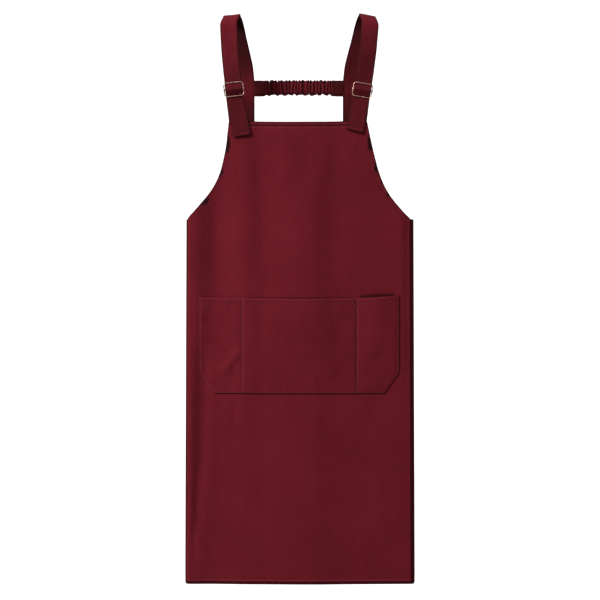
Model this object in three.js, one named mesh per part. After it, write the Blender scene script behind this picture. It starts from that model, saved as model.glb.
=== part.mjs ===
// Kitchen apron with a bib, a three-part pocket, two back panels, shoulder straps with sliders and a
// gathered band. Millimetres, +Z up, front towards -Y. The origin is on the shoulder line, midway between
// the two strap loops, at the height where the loops rest on what holds the apron up.
import * as THREE from 'three';

// Cloth walls and the gap between pieces that touch
const clothWall = 1.2;
const hemExtra = 0.8; // how much thicker a hem is, on the inside only
const strapWall = 2.0;
const tabWall = 1.2;
const seatGap = 0.3;
const pocketSeat = 0.5; // the pocket's seams lie this far off the panel

// Front panel: bib and skirt in one
const bibTopDrop = 193; // shoulder line to the bib's top edge
const bibTopWidth = 247.5;
const bibTopSag = 2.2; // the top edge hangs lower in the middle
const bibLean = 4; // the bib's top hangs this much towards -X
const armholeHeight = 176; // bib's top edge down to the top of the side seams
const skirtWidth = 410.5; // across the hanging body at the top of the side seams
const hemWidth = 415; // across the hanging body at the bottom
const skirtLength = 658.7; // top of the side seams to the bottom edge
const bibHem = 8;
const bottomHem = 15;
const edgeHem = 9; // hem along the armhole and seam allowance along the side
const hemStep = 1.5; // length over which a hem's wall thins to plain cloth

// How the body hangs
const sideDepth = 18; // front to back at the side folds
const bodyDepth = 40; // front to back in the middle
const loopDepth = 52; // between the planes of the front and back straps' cloth
const foldDepth = 4.5; // height of the largest drape fold
const backFoldDepth = 3;

// Back panels
const backRise = 72; // top of the side seams up to the top of the back panels
const backEdgeFromCentre = 72; // free back edge to the centre line, at the bottom
const backTopMargin = 1.5; // the top of a back panel is this much wider than the strap, each side

// Straps, tabs and the crown of the loops
const strapWidth = 30;
const strapBow = 5.6; // how far the front of a loop bows out
const crownHeight = 25;
const rootOverlap = 26; // strap sewn down over the back panel
const tabLength = 56; // bib's top edge to the slider's centre bar
const tabOverlap = 24; // tab sewn down inside the bib
const tabSpacing = 0.5; // between the two layers of a tab
const tabLead = 1; // straight stretch of a tab below the slider
const strapLead = 2; // straight stretch of the strap below the slider
const tailOverlap = 24; // free end of the strap below the bib's top edge
const tailLift = 0.2; // the free end lies this much looser on the bib than a sewn piece
const tailHem = 9;

// Sliders
const wire = 2.4;
const barPitch = 12.2; // centre bar to outer bar
const sliderClearance = 1.0; // between a strap's edge and the slider's side
const sliderCorner = 4.8;
const wireBevel = 0.7;
const nubLength = 3.4;
const nubHeight = 0.9;
const sliderProud = 0.6; // how far the strap behind the bars stands off its tail on the bib

// Back band
const bandDrop = 114; // shoulder line to the band's top edge
const bandHeight = 28.5;
const bandWaist = 2.4; // the gathered middle is this much lower than the ends
const bandWall = 3.2; // casing with the elastic inside
const frillHeight = 5; // cloth beyond the casing's stitch line
const gatherPitch = 6.6;
const gatherDepth = 1.5;
const plainEnd = 17; // flat stretch at each end of the band
const gatherStart = 0.9; // share of the flat stretch before the gathers begin
const gatherUneven = 0.25; // share by which the gathers differ in height
const gatherBeat = 2.1; // radians of unevenness from one gather to the next
const frillRise = 0.5; // height of the frills' waves

// Pocket
const pocketWidth = 362.4;
const pocketOffset = -1.9; // pocket's middle from the centre line
const pocketDrop = 319; // bib's top edge to the pocket's mouth
const pocketHeight = 171.5;
const pocketHem = 10;
const pocketWall = 1.2;
const pocketGape = 7.5; // widest gap between the pocket and the panel, at the mouth
const gapeArch = 0.6; // power that rounds the gape across: less is fuller near the seams
const gapeFade = 0.7; // power with which the gape closes on the way down
const cornerAcross = 27.5;
const cornerUp = 37;

// How finely the surfaces are divided
const armholeRows = 10;
const cellSize = 21; // width of a cell of the front panel
const rowHeight = 44; // height of a cell of the skirt
const turnStep = 20; // degrees of the side fold for each cell
const backCellSize = 25; // width of a cell of a back panel
const backEdgeRows = 7;
const pocketMiddleRows = 4; // from the pocket's hem to its cut corners
const pocketCornerRows = 3;
const crownSteps = 10;
const barSteps = 2;
const tabTurnSteps = 6;
const wireCornerSteps = 3;
const searchSteps = 30;

// Each armhole is one cubic curve from the bib's corner to the side seam. Its two control points are shares
// of the curve's drop and of its reach outwards, which hangs a little differently on the left and on the
// right.
const armholeCurve = [
  { down: 0.6, left: 0.14, right: 0.28 },
  { down: 0.7, left: 0.37, right: 0.28 },
];

// The back panel's upper edge runs the same way from its strap to the side seam.
const backEdgeCurve = [
  { out: 0.1, down: 0.45 },
  { out: 0.4, down: 1.0 },
];

// Each side seam lies on the side fold, at this angle of the turn: 0 faces the front, 90 faces sideways.
const sides = [
  { name: 'left', side: -1, seamAngle: 60 },
  { name: 'right', side: 1, seamAngle: 26 },
];

// Vertical drape folds of the front: at is a share of the flat half width, rise a share of the fold depth.
const frontFolds = [
  { at: -1, rise: 0 },
  { at: -0.94, rise: 0.18 },
  { at: -0.76, rise: -0.35 },
  { at: -0.5, rise: 0.35 },
  { at: -0.37, rise: 0.1 },
  { at: 0.03, rise: 1 },
  { at: 0.38, rise: -0.15 },
  { at: 0.66, rise: 0.12 },
  { at: 1, rise: 0 },
];

// Strength of the folds down the front panel, from the bib's top edge, 0, to the bottom, 1.
const foldStrength = [
  { down: 0, strength: 0.45 },
  { down: 0.22, strength: 1 },
  { down: 0.6, strength: 0.9 },
  { down: 1, strength: 0.7 },
];

// Soft folds of the back panels, counted from the centre line, 0, to the side fold, 1.
const backFolds = [
  { at: 0.2, rise: 0.8 },
  { at: 0.45, rise: -0.6 },
  { at: 0.72, rise: 0.7 },
  { at: 1, rise: 0 },
];

// Compartments of the pocket, from -X to +X: width as a share of the pocket, gape as a share of the
// pocket's, and how far the mouth lies above the plain height at its start, middle and end, as shares of
// the pocket's hem.
const compartments = [
  { width: 0.217, gape: 0.95, start: 0.1, middle: 0.05, end: 0 },
  { width: 0.569, gape: 1, start: 0, middle: -0.12, end: 0 },
  { width: 0.214, gape: 1.1, start: 0.02, middle: 0.2, end: 0.42 },
];

// Each strap's own course: places across, out from the middle of its tab, as shares of the strap's width,
// lengths as shares of the common ones, and tilts in degrees with the outer end lower.
const strapCourses = [
  {
    slider: 0.21, crest: 0.35, back: -0.48, tail: -0.28,
    sliderUp: 1.01, tailDown: 1, tilt: 6.5, tailTilt: 8.5,
  },
  {
    slider: 0.25, crest: 0.57, back: -0.37, tail: -0.19,
    sliderUp: 0.985, tailDown: 0.76, tilt: 10, tailTilt: 14,
  },
];

// Bow of the loop's front, from the crest, 0, down to the slider, 1.
const frontBow = [
  { down: 0, bow: 0 },
  { down: 0.16, bow: 1 },
  { down: 0.44, bow: 0.9 },
  { down: 0.82, bow: 0.35 },
  { down: 1, bow: 0 },
];

// Where the loop's back runs between the crest, 1, and its lower course, 0, on the way down to the band, 1.
const backCourse = [
  { down: 0, across: 1 },
  { down: 0.285, across: 0.54 },
  { down: 0.71, across: 0.2 },
  { down: 1.1, across: 0 },
];

// Heights and places worked out from the sizes
const bibTopZ = -bibTopDrop;
const sideTopZ = bibTopZ - armholeHeight;
const bottomZ = sideTopZ - skirtLength;
const backTopZ = sideTopZ + backRise;
const foldRadius = sideDepth / 2;
const turnLength = Math.PI * foldRadius;
const swell = (bodyDepth - sideDepth) / 2;
const barRadius = wire / 2;
const barReach = Math.hypot(barRadius, barRadius - wireBevel); // to the corners of a bar's bevelled section
const hemIn = clothWall / 2 + hemExtra;

const radians = THREE.MathUtils.degToRad;
const mix = THREE.MathUtils.lerp;
const clamp = (t) => THREE.MathUtils.clamp(t, 0, 1);
const ease = (t) => clamp(t) ** 2 * (3 - 2 * clamp(t));

// Reads a column of a table at a place between its rows, as a smooth curve that doesn't overshoot.
function readTable(rows, key, column, place) {
  const at = THREE.MathUtils.clamp(place, rows[0][key], rows[rows.length - 1][key]);
  const next = Math.max(1, rows.findIndex((row) => row[key] >= at));
  const slopeAfter = (i) => (rows[i + 1][column] - rows[i][column]) / (rows[i + 1][key] - rows[i][key]);
  const slopeAt = (i) => {
    if (i === 0 || i === rows.length - 1) return 0;
    const before = slopeAfter(i - 1);
    const after = slopeAfter(i);
    return before * after > 0 ? (2 * before * after) / (before + after) : 0;
  };
  const span = rows[next][key] - rows[next - 1][key];
  const t = (at - rows[next - 1][key]) / span;
  const bend = t * (1 - t) * span;
  return mix(rows[next - 1][column], rows[next][column], ease(t))
    + bend * ((1 - t) * slopeAt(next - 1) - t * slopeAt(next));
}

// Evenly spaced values from start to end, both included.
function spread(start, end, cells) {
  return Array.from({ length: cells + 1 }, (unused, i) => mix(start, end, i / cells));
}

// Evenly spaced values with cells of about the given size.
function spreadBySize(start, end, size) {
  return spread(start, end, Math.max(1, Math.round(Math.abs(end - start) / size)));
}

// How far the cloth has left the hanging body for the plane of the straps, 0 at the side seams' top, 1 at
// the bib's top.
function liftAt(z) {
  return ease((z - sideTopZ) / armholeHeight);
}

// The body hangs as a flat tube with rounded sides. This is half of its flat stretch.
function flatHalfAt(z) {
  return mix(skirtWidth, hemWidth, clamp((sideTopZ - z) / skirtLength)) / 2 - foldRadius;
}

// A place on the middle of the cloth. Arc is the distance along the cloth from the centre front, positive
// towards +X: past the flat front it goes round the side fold and on along the back.
function clothPoint(arc, z) {
  const side = arc < 0 ? -1 : 1;
  const run = Math.abs(arc);
  const flat = flatHalfAt(z);
  const lift = liftAt(z);
  if (run <= flat) {
    const share = run / flat;
    const strength = readTable(foldStrength, 'down', 'strength', (bibTopZ - z) / (bibTopZ - bottomZ));
    const fold = readTable(frontFolds, 'at', 'rise', side * share) * strength * foldDepth;
    const depth = mix(foldRadius + swell * (1 - share ** 2) ** 2, loopDepth / 2, lift) + fold;
    return new THREE.Vector3(arc - bibLean * lift, -depth, z);
  }
  const angle = Math.min((run - flat) / foldRadius, Math.PI);
  const x = flat + foldRadius * Math.sin(angle) - Math.max(run - flat - turnLength, 0);
  const share = clamp(x / flat);
  const onBack = run > flat + turnLength;
  const fold = onBack ? readTable(backFolds, 'at', 'rise', share) * backFoldDepth : 0;
  const hung = -foldRadius * Math.cos(angle) + (onBack ? swell * (1 - share ** 2) ** 2 + fold : 0);
  const lean = bibLean * lift * (1 - angle / Math.PI);
  return new THREE.Vector3(side * x - lean, mix(hung, (-loopDepth / 2) * Math.cos(angle), lift), z);
}

// The arc of the place on the back at a given distance from the centre line.
function backArc(fromCentre, z) {
  return 2 * flatHalfAt(z) + turnLength - fromCentre;
}

// The outward direction of the cloth at a place.
function clothNormal(arc, z) {
  const step = 0.5;
  const along = clothPoint(arc + step, z).sub(clothPoint(arc - step, z));
  const up = clothPoint(arc, z + step).sub(clothPoint(arc, z - step));
  return along.cross(up).normalize();
}

// A place at a distance outwards from the middle of the cloth.
function offCloth(arc, z, distance) {
  return clothPoint(arc, z).addScaledVector(clothNormal(arc, z), distance);
}

// The same for a place given by its X on the front, where the cloth is flat.
function offFront(x, z, distance) {
  return offCloth(x + bibLean * liftAt(z), z, distance);
}

// Closed wall between a grid of outer points and the matching grid of inner points.
function wallBetween(outer, inner) {
  const rowCount = outer.length;
  const columnCount = outer[0].length;
  const positions = [...outer.flat(), ...inner.flat()].flatMap((point) => point.toArray());
  const innerStart = rowCount * columnCount;
  const index = [];
  const addQuad = (a, b, c, d) => index.push(a, b, c, a, c, d);
  const at = (row, column) => row * columnCount + column;
  for (let row = 0; row < rowCount - 1; row += 1) {
    for (let column = 0; column < columnCount - 1; column += 1) {
      const corners = [at(row, column), at(row + 1, column), at(row + 1, column + 1), at(row, column + 1)];
      addQuad(...corners);
      addQuad(...corners.map((corner) => corner + innerStart).reverse());
    }
  }
  const rim = [];
  for (let column = 0; column < columnCount - 1; column += 1) rim.push(at(0, column));
  for (let row = 0; row < rowCount - 1; row += 1) rim.push(at(row, columnCount - 1));
  for (let column = columnCount - 1; column > 0; column -= 1) rim.push(at(rowCount - 1, column));
  for (let row = rowCount - 1; row > 0; row -= 1) rim.push(at(row, 0));
  rim.forEach((start, i) => {
    const end = rim[(i + 1) % rim.length];
    addQuad(start, end, end + innerStart, start + innerStart);
  });
  const geometry = new THREE.BufferGeometry();
  geometry.setAttribute('position', new THREE.Float32BufferAttribute(positions, 3));
  geometry.setIndex(signedVolume(positions, index) < 0 ? index.reverse() : index);
  geometry.computeVertexNormals();
  return geometry;
}

function signedVolume(positions, index) {
  const corner = (i) => new THREE.Vector3().fromArray(positions, 3 * i);
  let volume = 0;
  for (let i = 0; i < index.length; i += 3) {
    volume += corner(index[i]).dot(corner(index[i + 1]).cross(corner(index[i + 2]))) / 6;
  }
  return volume;
}

// Strip of even or changing thickness round a grid of middle points, for straps, tabs and the band. Where
// it bends, the offset is mitred, so that the wall keeps its thickness.
function strip(rows, wallAt) {
  const offsetAt = (i, j) => {
    const direction = (from, to) => rows[to][j].clone().sub(rows[from][j]).normalize();
    const before = i > 0 ? direction(i - 1, i) : direction(0, 1);
    const after = i < rows.length - 1 ? direction(i, i + 1) : before;
    const along = before.clone().add(after).normalize();
    const across = rows[i][Math.min(j + 1, rows[i].length - 1)].clone().sub(rows[i][Math.max(j - 1, 0)]);
    const mitre = Math.max(along.dot(after), 0.5);
    return across.cross(along).normalize().multiplyScalar(wallAt(i, j) / 2 / mitre);
  };
  const outer = rows.map((row, i) => row.map((point, j) => point.clone().add(offsetAt(i, j))));
  const inner = rows.map((row, i) => row.map((point, j) => point.clone().sub(offsetAt(i, j))));
  return wallBetween(outer, inner);
}

// Part of the body's cloth: rows of places { arc, z, hemmed }, where a hem makes the wall thicker on the
// inside.
function clothPanel(rows) {
  const outer = rows.map((row) => row.map(({ arc, z }) => offCloth(arc, z, clothWall / 2)));
  const inner = rows.map((row) => row.map(
    ({ arc, z, hemmed }) => offCloth(arc, z, -(hemmed ? hemIn : clothWall / 2)),
  ));
  return wallBetween(outer, inner);
}

// A cubic curve from start to end, given as places { arc, z }, bent by a table of two control points.
function edgeCurve(start, end, controls, share) {
  const reach = (key, column) => controls.map((control) => mix(start[key], end[key], control[column]));
  const curve = new THREE.CubicBezierCurve(
    new THREE.Vector2(start.arc, start.z),
    new THREE.Vector2(reach('arc', 'out')[0], reach('z', 'down')[0]),
    new THREE.Vector2(reach('arc', 'out')[1], reach('z', 'down')[1]),
    new THREE.Vector2(end.arc, end.z),
  );
  return curve.getPoint(share);
}

function seamArc({ side, seamAngle }, z, gapSide) {
  return side * (flatHalfAt(z) + foldRadius * radians(seamAngle) + (gapSide * seatGap) / 2);
}

// Arcs of the front panel's columns at the top of the skirt. They share the pocket's columns, so the
// pocket's cells lie parallel to the cells behind them.
function frontColumns() {
  const [left, right] = sides.map((side) => seamArc(side, sideTopZ, -1));
  const pocketEdges = pocketColumns();
  const flat = flatHalfAt(sideTopZ);
  const turn = foldRadius * radians(turnStep);
  return [
    { arc: left, hemmed: true },
    ...spreadBySize(left, left + edgeHem, turn).slice(1).map((arc) => ({ arc, hemmed: true })),
    { arc: left + edgeHem + hemStep, hemmed: false },
    ...pocketEdges.map((arc) => ({ arc, hemmed: false })),
    { arc: right - edgeHem - hemStep, hemmed: false },
    ...spreadBySize(right - edgeHem, Math.min(flat, right), turn).map((arc) => ({ arc, hemmed: true })),
    { arc: right, hemmed: true },
  ];
}

function makeFrontPanel() {
  const columns = frontColumns();
  const hemRows = [0, bibHem, bibHem + hemStep].map((down) => down / armholeHeight);
  const curved = spread(0, 1, armholeRows).slice(1);
  const starts = [bibTopZ, bibTopZ - bibHem, bibTopZ - bibHem - hemStep];
  const rows = [];
  const addRow = (edges, z, hemmedRow, sag) => {
    rows.push(columns.map(({ arc, hemmed }) => {
      const full = arc < 0 ? seamArc(sides[0], sideTopZ, -1) : seamArc(sides[1], sideTopZ, -1);
      const share = arc / full;
      const edge = arc < 0 ? edges[0] : edges[1];
      return { arc: share * edge, z: z - sag * (1 - share ** 2), hemmed: hemmed || hemmedRow };
    }));
  };
  const corners = sides.map(({ side }) => ({ arc: (side * bibTopWidth) / 2, z: bibTopZ }));
  const ends = sides.map((side) => ({ arc: seamArc(side, sideTopZ, -1), z: sideTopZ }));
  const curves = sides.map(({ name }) => armholeCurve.map((row) => ({ out: row[name], down: row.down })));
  const edgesAt = (share) => sides.map((unused, i) => edgeCurve(corners[i], ends[i], curves[i], share));
  // The curve's own share at which it has dropped by a share of the armhole's height
  const shareForDrop = (drop) => {
    let low = 0;
    let high = 1;
    for (let i = 0; i < searchSteps; i += 1) {
      const middle = (low + high) / 2;
      if (bibTopZ - edgesAt(middle)[0].y < drop * armholeHeight) low = middle;
      else high = middle;
    }
    return low;
  };
  hemRows.forEach((drop, i) => {
    const edges = edgesAt(shareForDrop(drop));
    addRow(edges.map((edge) => edge.x), starts[i], i < 2, bibTopSag);
  });
  curved.forEach((share) => {
    const edges = edgesAt(share);
    const sag = bibTopSag * (1 - share) ** 2;
    if (edges[0].y < starts[2] - bibHem) addRow(edges.map((edge) => edge.x), edges[0].y, false, sag);
  });
  const skirtRows = spreadBySize(sideTopZ, bottomZ + bottomHem + hemStep, rowHeight).slice(1);
  skirtRows.forEach((z) => addRow(sides.map((side) => seamArc(side, z, -1)), z, false, 0));
  [bottomHem, 0].forEach((up) => {
    const z = bottomZ + up;
    addRow(sides.map((side) => seamArc(side, z, -1)), z, true, 0);
  });
  return clothPanel(rows);
}

function makeBackPanel(sideRow, course) {
  const { side, seamAngle } = sideRow;
  const strapOut = strapPlace(sideRow, course, 'back');
  const topInner = strapOut - strapWidth / 2 - backTopMargin;
  const topOuter = strapOut + strapWidth / 2 + backTopMargin;
  const innerAt = (z) => mix(topInner, backEdgeFromCentre, clamp((backTopZ - z) / (backTopZ - bottomZ)));
  const start = { arc: backArc(topOuter, backTopZ), z: backTopZ };
  const end = { arc: Math.abs(seamArc(sideRow, sideTopZ, 1)), z: sideTopZ };
  const turned = foldRadius * radians(180 - seamAngle);
  const flat = flatHalfAt(sideTopZ) - backEdgeFromCentre;
  const whole = turned + flat;
  const turnCells = Math.round((180 - seamAngle) / turnStep);
  const shares = [
    ...spread(0, turned, turnCells),
    ...spreadBySize(turned, whole - edgeHem - hemStep, backCellSize).slice(1),
    whole - edgeHem,
    whole,
  ].map((length) => length / whole);
  const rows = [];
  const addRow = (outerArc, z, hemmedRow) => {
    const innerArc = backArc(innerAt(z), z);
    rows.push(shares.map((share, i) => ({
      arc: side * mix(outerArc, innerArc, share),
      z,
      hemmed: hemmedRow || i === 0 || i > shares.length - 3,
    })));
  };
  addRow(start.arc, backTopZ, true);
  spread(0, 1, backEdgeRows).slice(1).forEach((share) => {
    const edge = edgeCurve(start, end, backEdgeCurve, share);
    addRow(edge.x, edge.y, false);
  });
  const skirtRows = spreadBySize(sideTopZ, bottomZ + bottomHem + hemStep, rowHeight).slice(1);
  skirtRows.forEach((z) => addRow(Math.abs(seamArc(sideRow, z, 1)), z, false));
  [bottomHem, 0].forEach((up) => addRow(Math.abs(seamArc(sideRow, bottomZ + up, 1)), bottomZ + up, true));
  return clothPanel(rows);
}

// X places of the pocket's columns, with one at each seam.
function pocketColumns() {
  let start = pocketOffset - pocketWidth / 2;
  const columns = [start];
  compartments.forEach(({ width }) => {
    const end = start + width * pocketWidth;
    columns.push(...spreadBySize(start, end, cellSize).slice(1));
    start = end;
  });
  return columns;
}

// How far the pocket stands off its seams, and how far its mouth lies above the plain height, at a place
// across.
function pocketShape(x) {
  const share = clamp((x - pocketOffset) / pocketWidth + 0.5);
  let start = 0;
  const compartment = compartments.find(({ width }) => {
    start += width;
    return share <= start + 1e-6;
  }) ?? compartments[compartments.length - 1];
  const inside = clamp((share - start) / compartment.width + 1);
  const arch = Math.max(Math.sin(Math.PI * inside), 0) ** gapeArch;
  const mouth = readTable([
    { at: 0, lift: compartment.start },
    { at: 0.5, lift: compartment.middle },
    { at: 1, lift: compartment.end },
  ], 'at', 'lift', inside);
  return { gape: arch * compartment.gape * pocketGape, mouth: mouth * pocketHem };
}

function makePocket() {
  const top = bibTopZ - pocketDrop;
  const left = pocketOffset - pocketWidth / 2;
  const columns = pocketColumns();
  const cornerRow = 1 - cornerUp / pocketHeight;
  const downs = [
    0,
    ...spread(pocketHem / pocketHeight, cornerRow, pocketMiddleRows),
    ...spread(cornerRow, 1, pocketCornerRows).slice(1),
  ];
  const right = left + pocketWidth;
  const seams = [left + compartments[0].width * pocketWidth, right - compartments[2].width * pocketWidth];
  // The cut corners draw in the columns of the outer compartments, so the divider seams stay upright
  const drawnIn = (column, down) => {
    const pull = Math.max(0, (down - cornerRow) / (1 - cornerRow)) * cornerAcross;
    if (column < seams[0]) return pull * (seams[0] - column) / (seams[0] - left);
    if (column > seams[1]) return -pull * (column - seams[1]) / (right - seams[1]);
    return 0;
  };
  const place = (down, column, distance) => {
    const { gape, mouth } = pocketShape(column);
    const z = top - down * pocketHeight + mouth * (1 - down);
    const standOff = gape * (1 - down) ** gapeFade;
    return offFront(column + drawnIn(column, down), z, clothWall / 2 + pocketSeat + standOff + distance);
  };
  const outer = downs.map((down) => columns.map((column) => place(down, column, pocketWall)));
  const inner = downs.map((down) => columns.map((column) => place(down, column, 0)));
  return wallBetween(outer, inner);
}

// Distance of a strap's place from the centre line. The tab's middle lies half a strap in from the bib's
// corner.
function strapPlace({ side }, course, key) {
  const corner = bibTopWidth / 2 - side * bibLean;
  const tabMiddle = corner - strapWidth / 2;
  return tabMiddle + (key === 'tab' ? 0 : course[key] * strapWidth);
}

// The slider's own frame: its centre, the direction out along its bars, up across them, and towards the
// front.
function sliderFrame(sideRow, course) {
  const { side } = sideRow;
  const tilt = radians(course.tilt);
  const y = -(loopDepth / 2 + clothWall / 2 + seatGap + strapWall / 2) - underBar - sliderProud;
  const z = bibTopZ + tabLength * course.sliderUp;
  const centre = new THREE.Vector3(side * strapPlace(sideRow, course, 'slider'), y, z);
  const out = new THREE.Vector3(side * Math.cos(tilt), 0, -Math.sin(tilt));
  const up = new THREE.Vector3(side * Math.sin(tilt), 0, Math.cos(tilt));
  const towardsFront = new THREE.Vector3(0, -1, 0);
  const place = (along, forward) => centre.clone()
    .addScaledVector(up, along)
    .addScaledVector(towardsFront, forward);
  return { centre, out, up, place, tilt };
}

// Distance of the strap's middle from the bars it passes, and the angle at which it crosses between them.
const underBar = barReach + seatGap + strapWall / 2;
const loopRound = barReach + seatGap + tabWall / 2;
const overBar = loopRound + tabWall / 2 + seatGap + strapWall / 2;
const threadAngle = Math.asin((underBar + overBar) / barPitch);

// X of the middle of a strap's back, from the crest down to its lower course.
function strapBackX(sideRow, course, z) {
  const down = (strapWall / 2 - z) / bandDrop;
  const across = readTable(backCourse, 'down', 'across', down);
  const [back, crest] = ['back', 'crest'].map((key) => strapPlace(sideRow, course, key));
  return sideRow.side * mix(back, crest, across);
}

// Row of points across a strap, from its inner edge to its outer edge.
function acrossRow(centre, out) {
  return [-0.5, 0, 0.5].map((share) => centre.clone().addScaledVector(out, share * strapWidth));
}

function makeStrap(sideRow, course) {
  const { side } = sideRow;
  const frame = sliderFrame(sideRow, course);
  const placeOf = (key) => strapPlace(sideRow, course, key);
  const rows = [];
  // The free tail lies on the bib and hangs straight from the slider's lower bar
  const tailZ = bibTopZ - tailOverlap * course.tailDown;
  const lowerBar = frame.place(-barPitch - strapLead, -underBar);
  const tailOff = clothWall / 2 + seatGap + strapWall / 2 + tailLift;
  const tailLength = lowerBar.z - tailZ;
  [0, tailHem, tailHem + hemStep, (tailHem + tailLength) / 2].forEach((length) => {
    const share = length / tailLength;
    const z = mix(tailZ, lowerBar.z, share);
    const x = mix(side * placeOf('tail'), lowerBar.x, share);
    const tilt = mix(radians(course.tailTilt), frame.tilt, share);
    const out = new THREE.Vector3(side * Math.cos(tilt), 0, -Math.sin(tilt));
    const onBib = clamp((lowerBar.z - z) / (lowerBar.z - bibTopZ - bibTopSag));
    rows.push(acrossRow(new THREE.Vector3(x, 0, z), out).map((point) => {
      const laid = offFront(point.x, Math.min(point.z, bibTopZ), tailOff);
      return new THREE.Vector3(point.x, mix(lowerBar.y, laid.y, onBib), point.z);
    }));
  });
  // Through the slider: behind the lower bar, over the centre bar, behind the upper bar
  const addLocal = (along, forward) => rows.push(acrossRow(frame.place(along, forward), frame.out));
  addLocal(-barPitch - strapLead, -underBar);
  const around = spread(0, threadAngle, barSteps);
  around.forEach((angle) => addLocal(-barPitch + underBar * Math.sin(angle), -underBar * Math.cos(angle)));
  spread(-threadAngle, threadAngle, barSteps * 2).forEach((angle) => {
    addLocal(overBar * Math.sin(angle), overBar * Math.cos(angle));
  });
  around.reverse().forEach((angle) => {
    addLocal(barPitch - underBar * Math.sin(angle), -underBar * Math.cos(angle));
  });
  // Up the front to the crown
  const frontY = frame.centre.y + underBar;
  const backOff = clothWall / 2 + seatGap + strapWall / 2;
  const backY = loopDepth / 2 + backOff;
  const crestZ = strapWall / 2;
  const sliderTop = frame.place(barPitch, -underBar);
  const frontX = (z) => {
    const down = clamp((crestZ - z) / (crestZ - sliderTop.z));
    const bow = strapBow * readTable(frontBow, 'down', 'bow', down);
    return side * (mix(placeOf('crest'), Math.abs(sliderTop.x), down) + bow);
  };
  const backX = (z) => strapBackX(sideRow, course, z);
  const tiltedOut = (tilt) => new THREE.Vector3(side * Math.cos(tilt), 0, -Math.sin(tilt));
  const crownZ = crestZ - crownHeight;
  spreadBySize(sliderTop.z, crownZ, strapWidth).slice(1, -1).forEach((z) => {
    rows.push(acrossRow(new THREE.Vector3(frontX(z), frontY, z), tiltedOut(frame.tilt)));
  });
  // Over the crown
  spread(0, Math.PI, crownSteps).forEach((angle) => {
    const z = crownZ + crownHeight * Math.sin(angle);
    const y = mix(frontY, backY, (1 - Math.cos(angle)) / 2);
    const x = angle < Math.PI / 2 ? frontX(z) : backX(z);
    rows.push(acrossRow(new THREE.Vector3(x, y, z), tiltedOut(frame.tilt)));
  });
  // Down the back to the root, sewn over the top of the back panel
  const rootZ = backTopZ - rootOverlap;
  const bandEndZ = -bandDrop - bandHeight;
  const backRows = [
    ...spreadBySize(crownZ, -bandDrop, strapWidth).slice(1),
    ...spreadBySize(bandEndZ, backTopZ, strapWidth).slice(0, -1),
  ];
  backRows.forEach((z) => {
    const tilt = frame.tilt * (1 - ease((crestZ - z) / bandDrop));
    const centre = new THREE.Vector3(backX(z), 0, z);
    rows.push(acrossRow(centre, tiltedOut(tilt)).map((point) => {
      const laid = offCloth(side * backArc(Math.abs(point.x), point.z), point.z, backOff);
      return new THREE.Vector3(point.x, laid.y, point.z);
    }));
  });
  [backTopZ, mix(backTopZ, rootZ, 0.5), rootZ].forEach((z) => {
    rows.push(acrossRow(new THREE.Vector3(backX(z), 0, z), tiltedOut(0)).map(
      (point) => offCloth(side * backArc(Math.abs(point.x), z), z, backOff),
    ));
  });
  const hemRows = 2; // the two rows of the free end's hem
  return strip(rows, (i) => (i < hemRows ? strapWall + hemExtra / 2 : strapWall));
}

// A tab is one strip folded round the centre bar, with both ends sewn inside the bib.
function makeTab(sideRow, course) {
  const { side } = sideRow;
  const frame = sliderFrame(sideRow, course);
  const layers = tabWall + tabSpacing;
  const tabX = side * strapPlace(sideRow, course, 'tab');
  const endZ = bibTopZ - tabOverlap;
  const frontUnder = underBar + strapWall / 2 + seatGap + tabWall / 2;
  const inside = -(hemIn + seatGap + tabWall / 2);
  const sewnRow = (z, layer) => acrossRow(new THREE.Vector3(tabX, 0, z), new THREE.Vector3(side, 0, 0)).map(
    (point) => offFront(point.x, point.z, inside - layer * layers),
  );
  const looseRow = (share, layer) => {
    const lower = frame.place(-barPitch - tabLead, -frontUnder - layer * layers);
    const tilt = mix(0, frame.tilt, share);
    const out = new THREE.Vector3(side * Math.cos(tilt), 0, -Math.sin(tilt));
    const sewn = offFront(tabX, bibTopZ, inside - layer * layers);
    return acrossRow(sewn.lerp(lower, share), out);
  };
  const local = (along, forward) => acrossRow(frame.place(along, forward), frame.out);
  const rows = [sewnRow(endZ, 0), sewnRow(bibTopZ, 0), looseRow(0.5, 0), looseRow(1, 0)];
  spread(0, threadAngle, barSteps).forEach((angle) => {
    rows.push(local(-barPitch + frontUnder * Math.sin(angle), -frontUnder * Math.cos(angle)));
  });
  spread(-threadAngle, Math.PI, tabTurnSteps).forEach((angle) => {
    rows.push(local(loopRound * Math.sin(angle), loopRound * Math.cos(angle)));
  });
  rows.push(looseRow(1, 1), looseRow(0.5, 1), sewnRow(bibTopZ, 1), sewnRow(endZ, 1));
  return strip(rows, () => tabWall);
}

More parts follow.
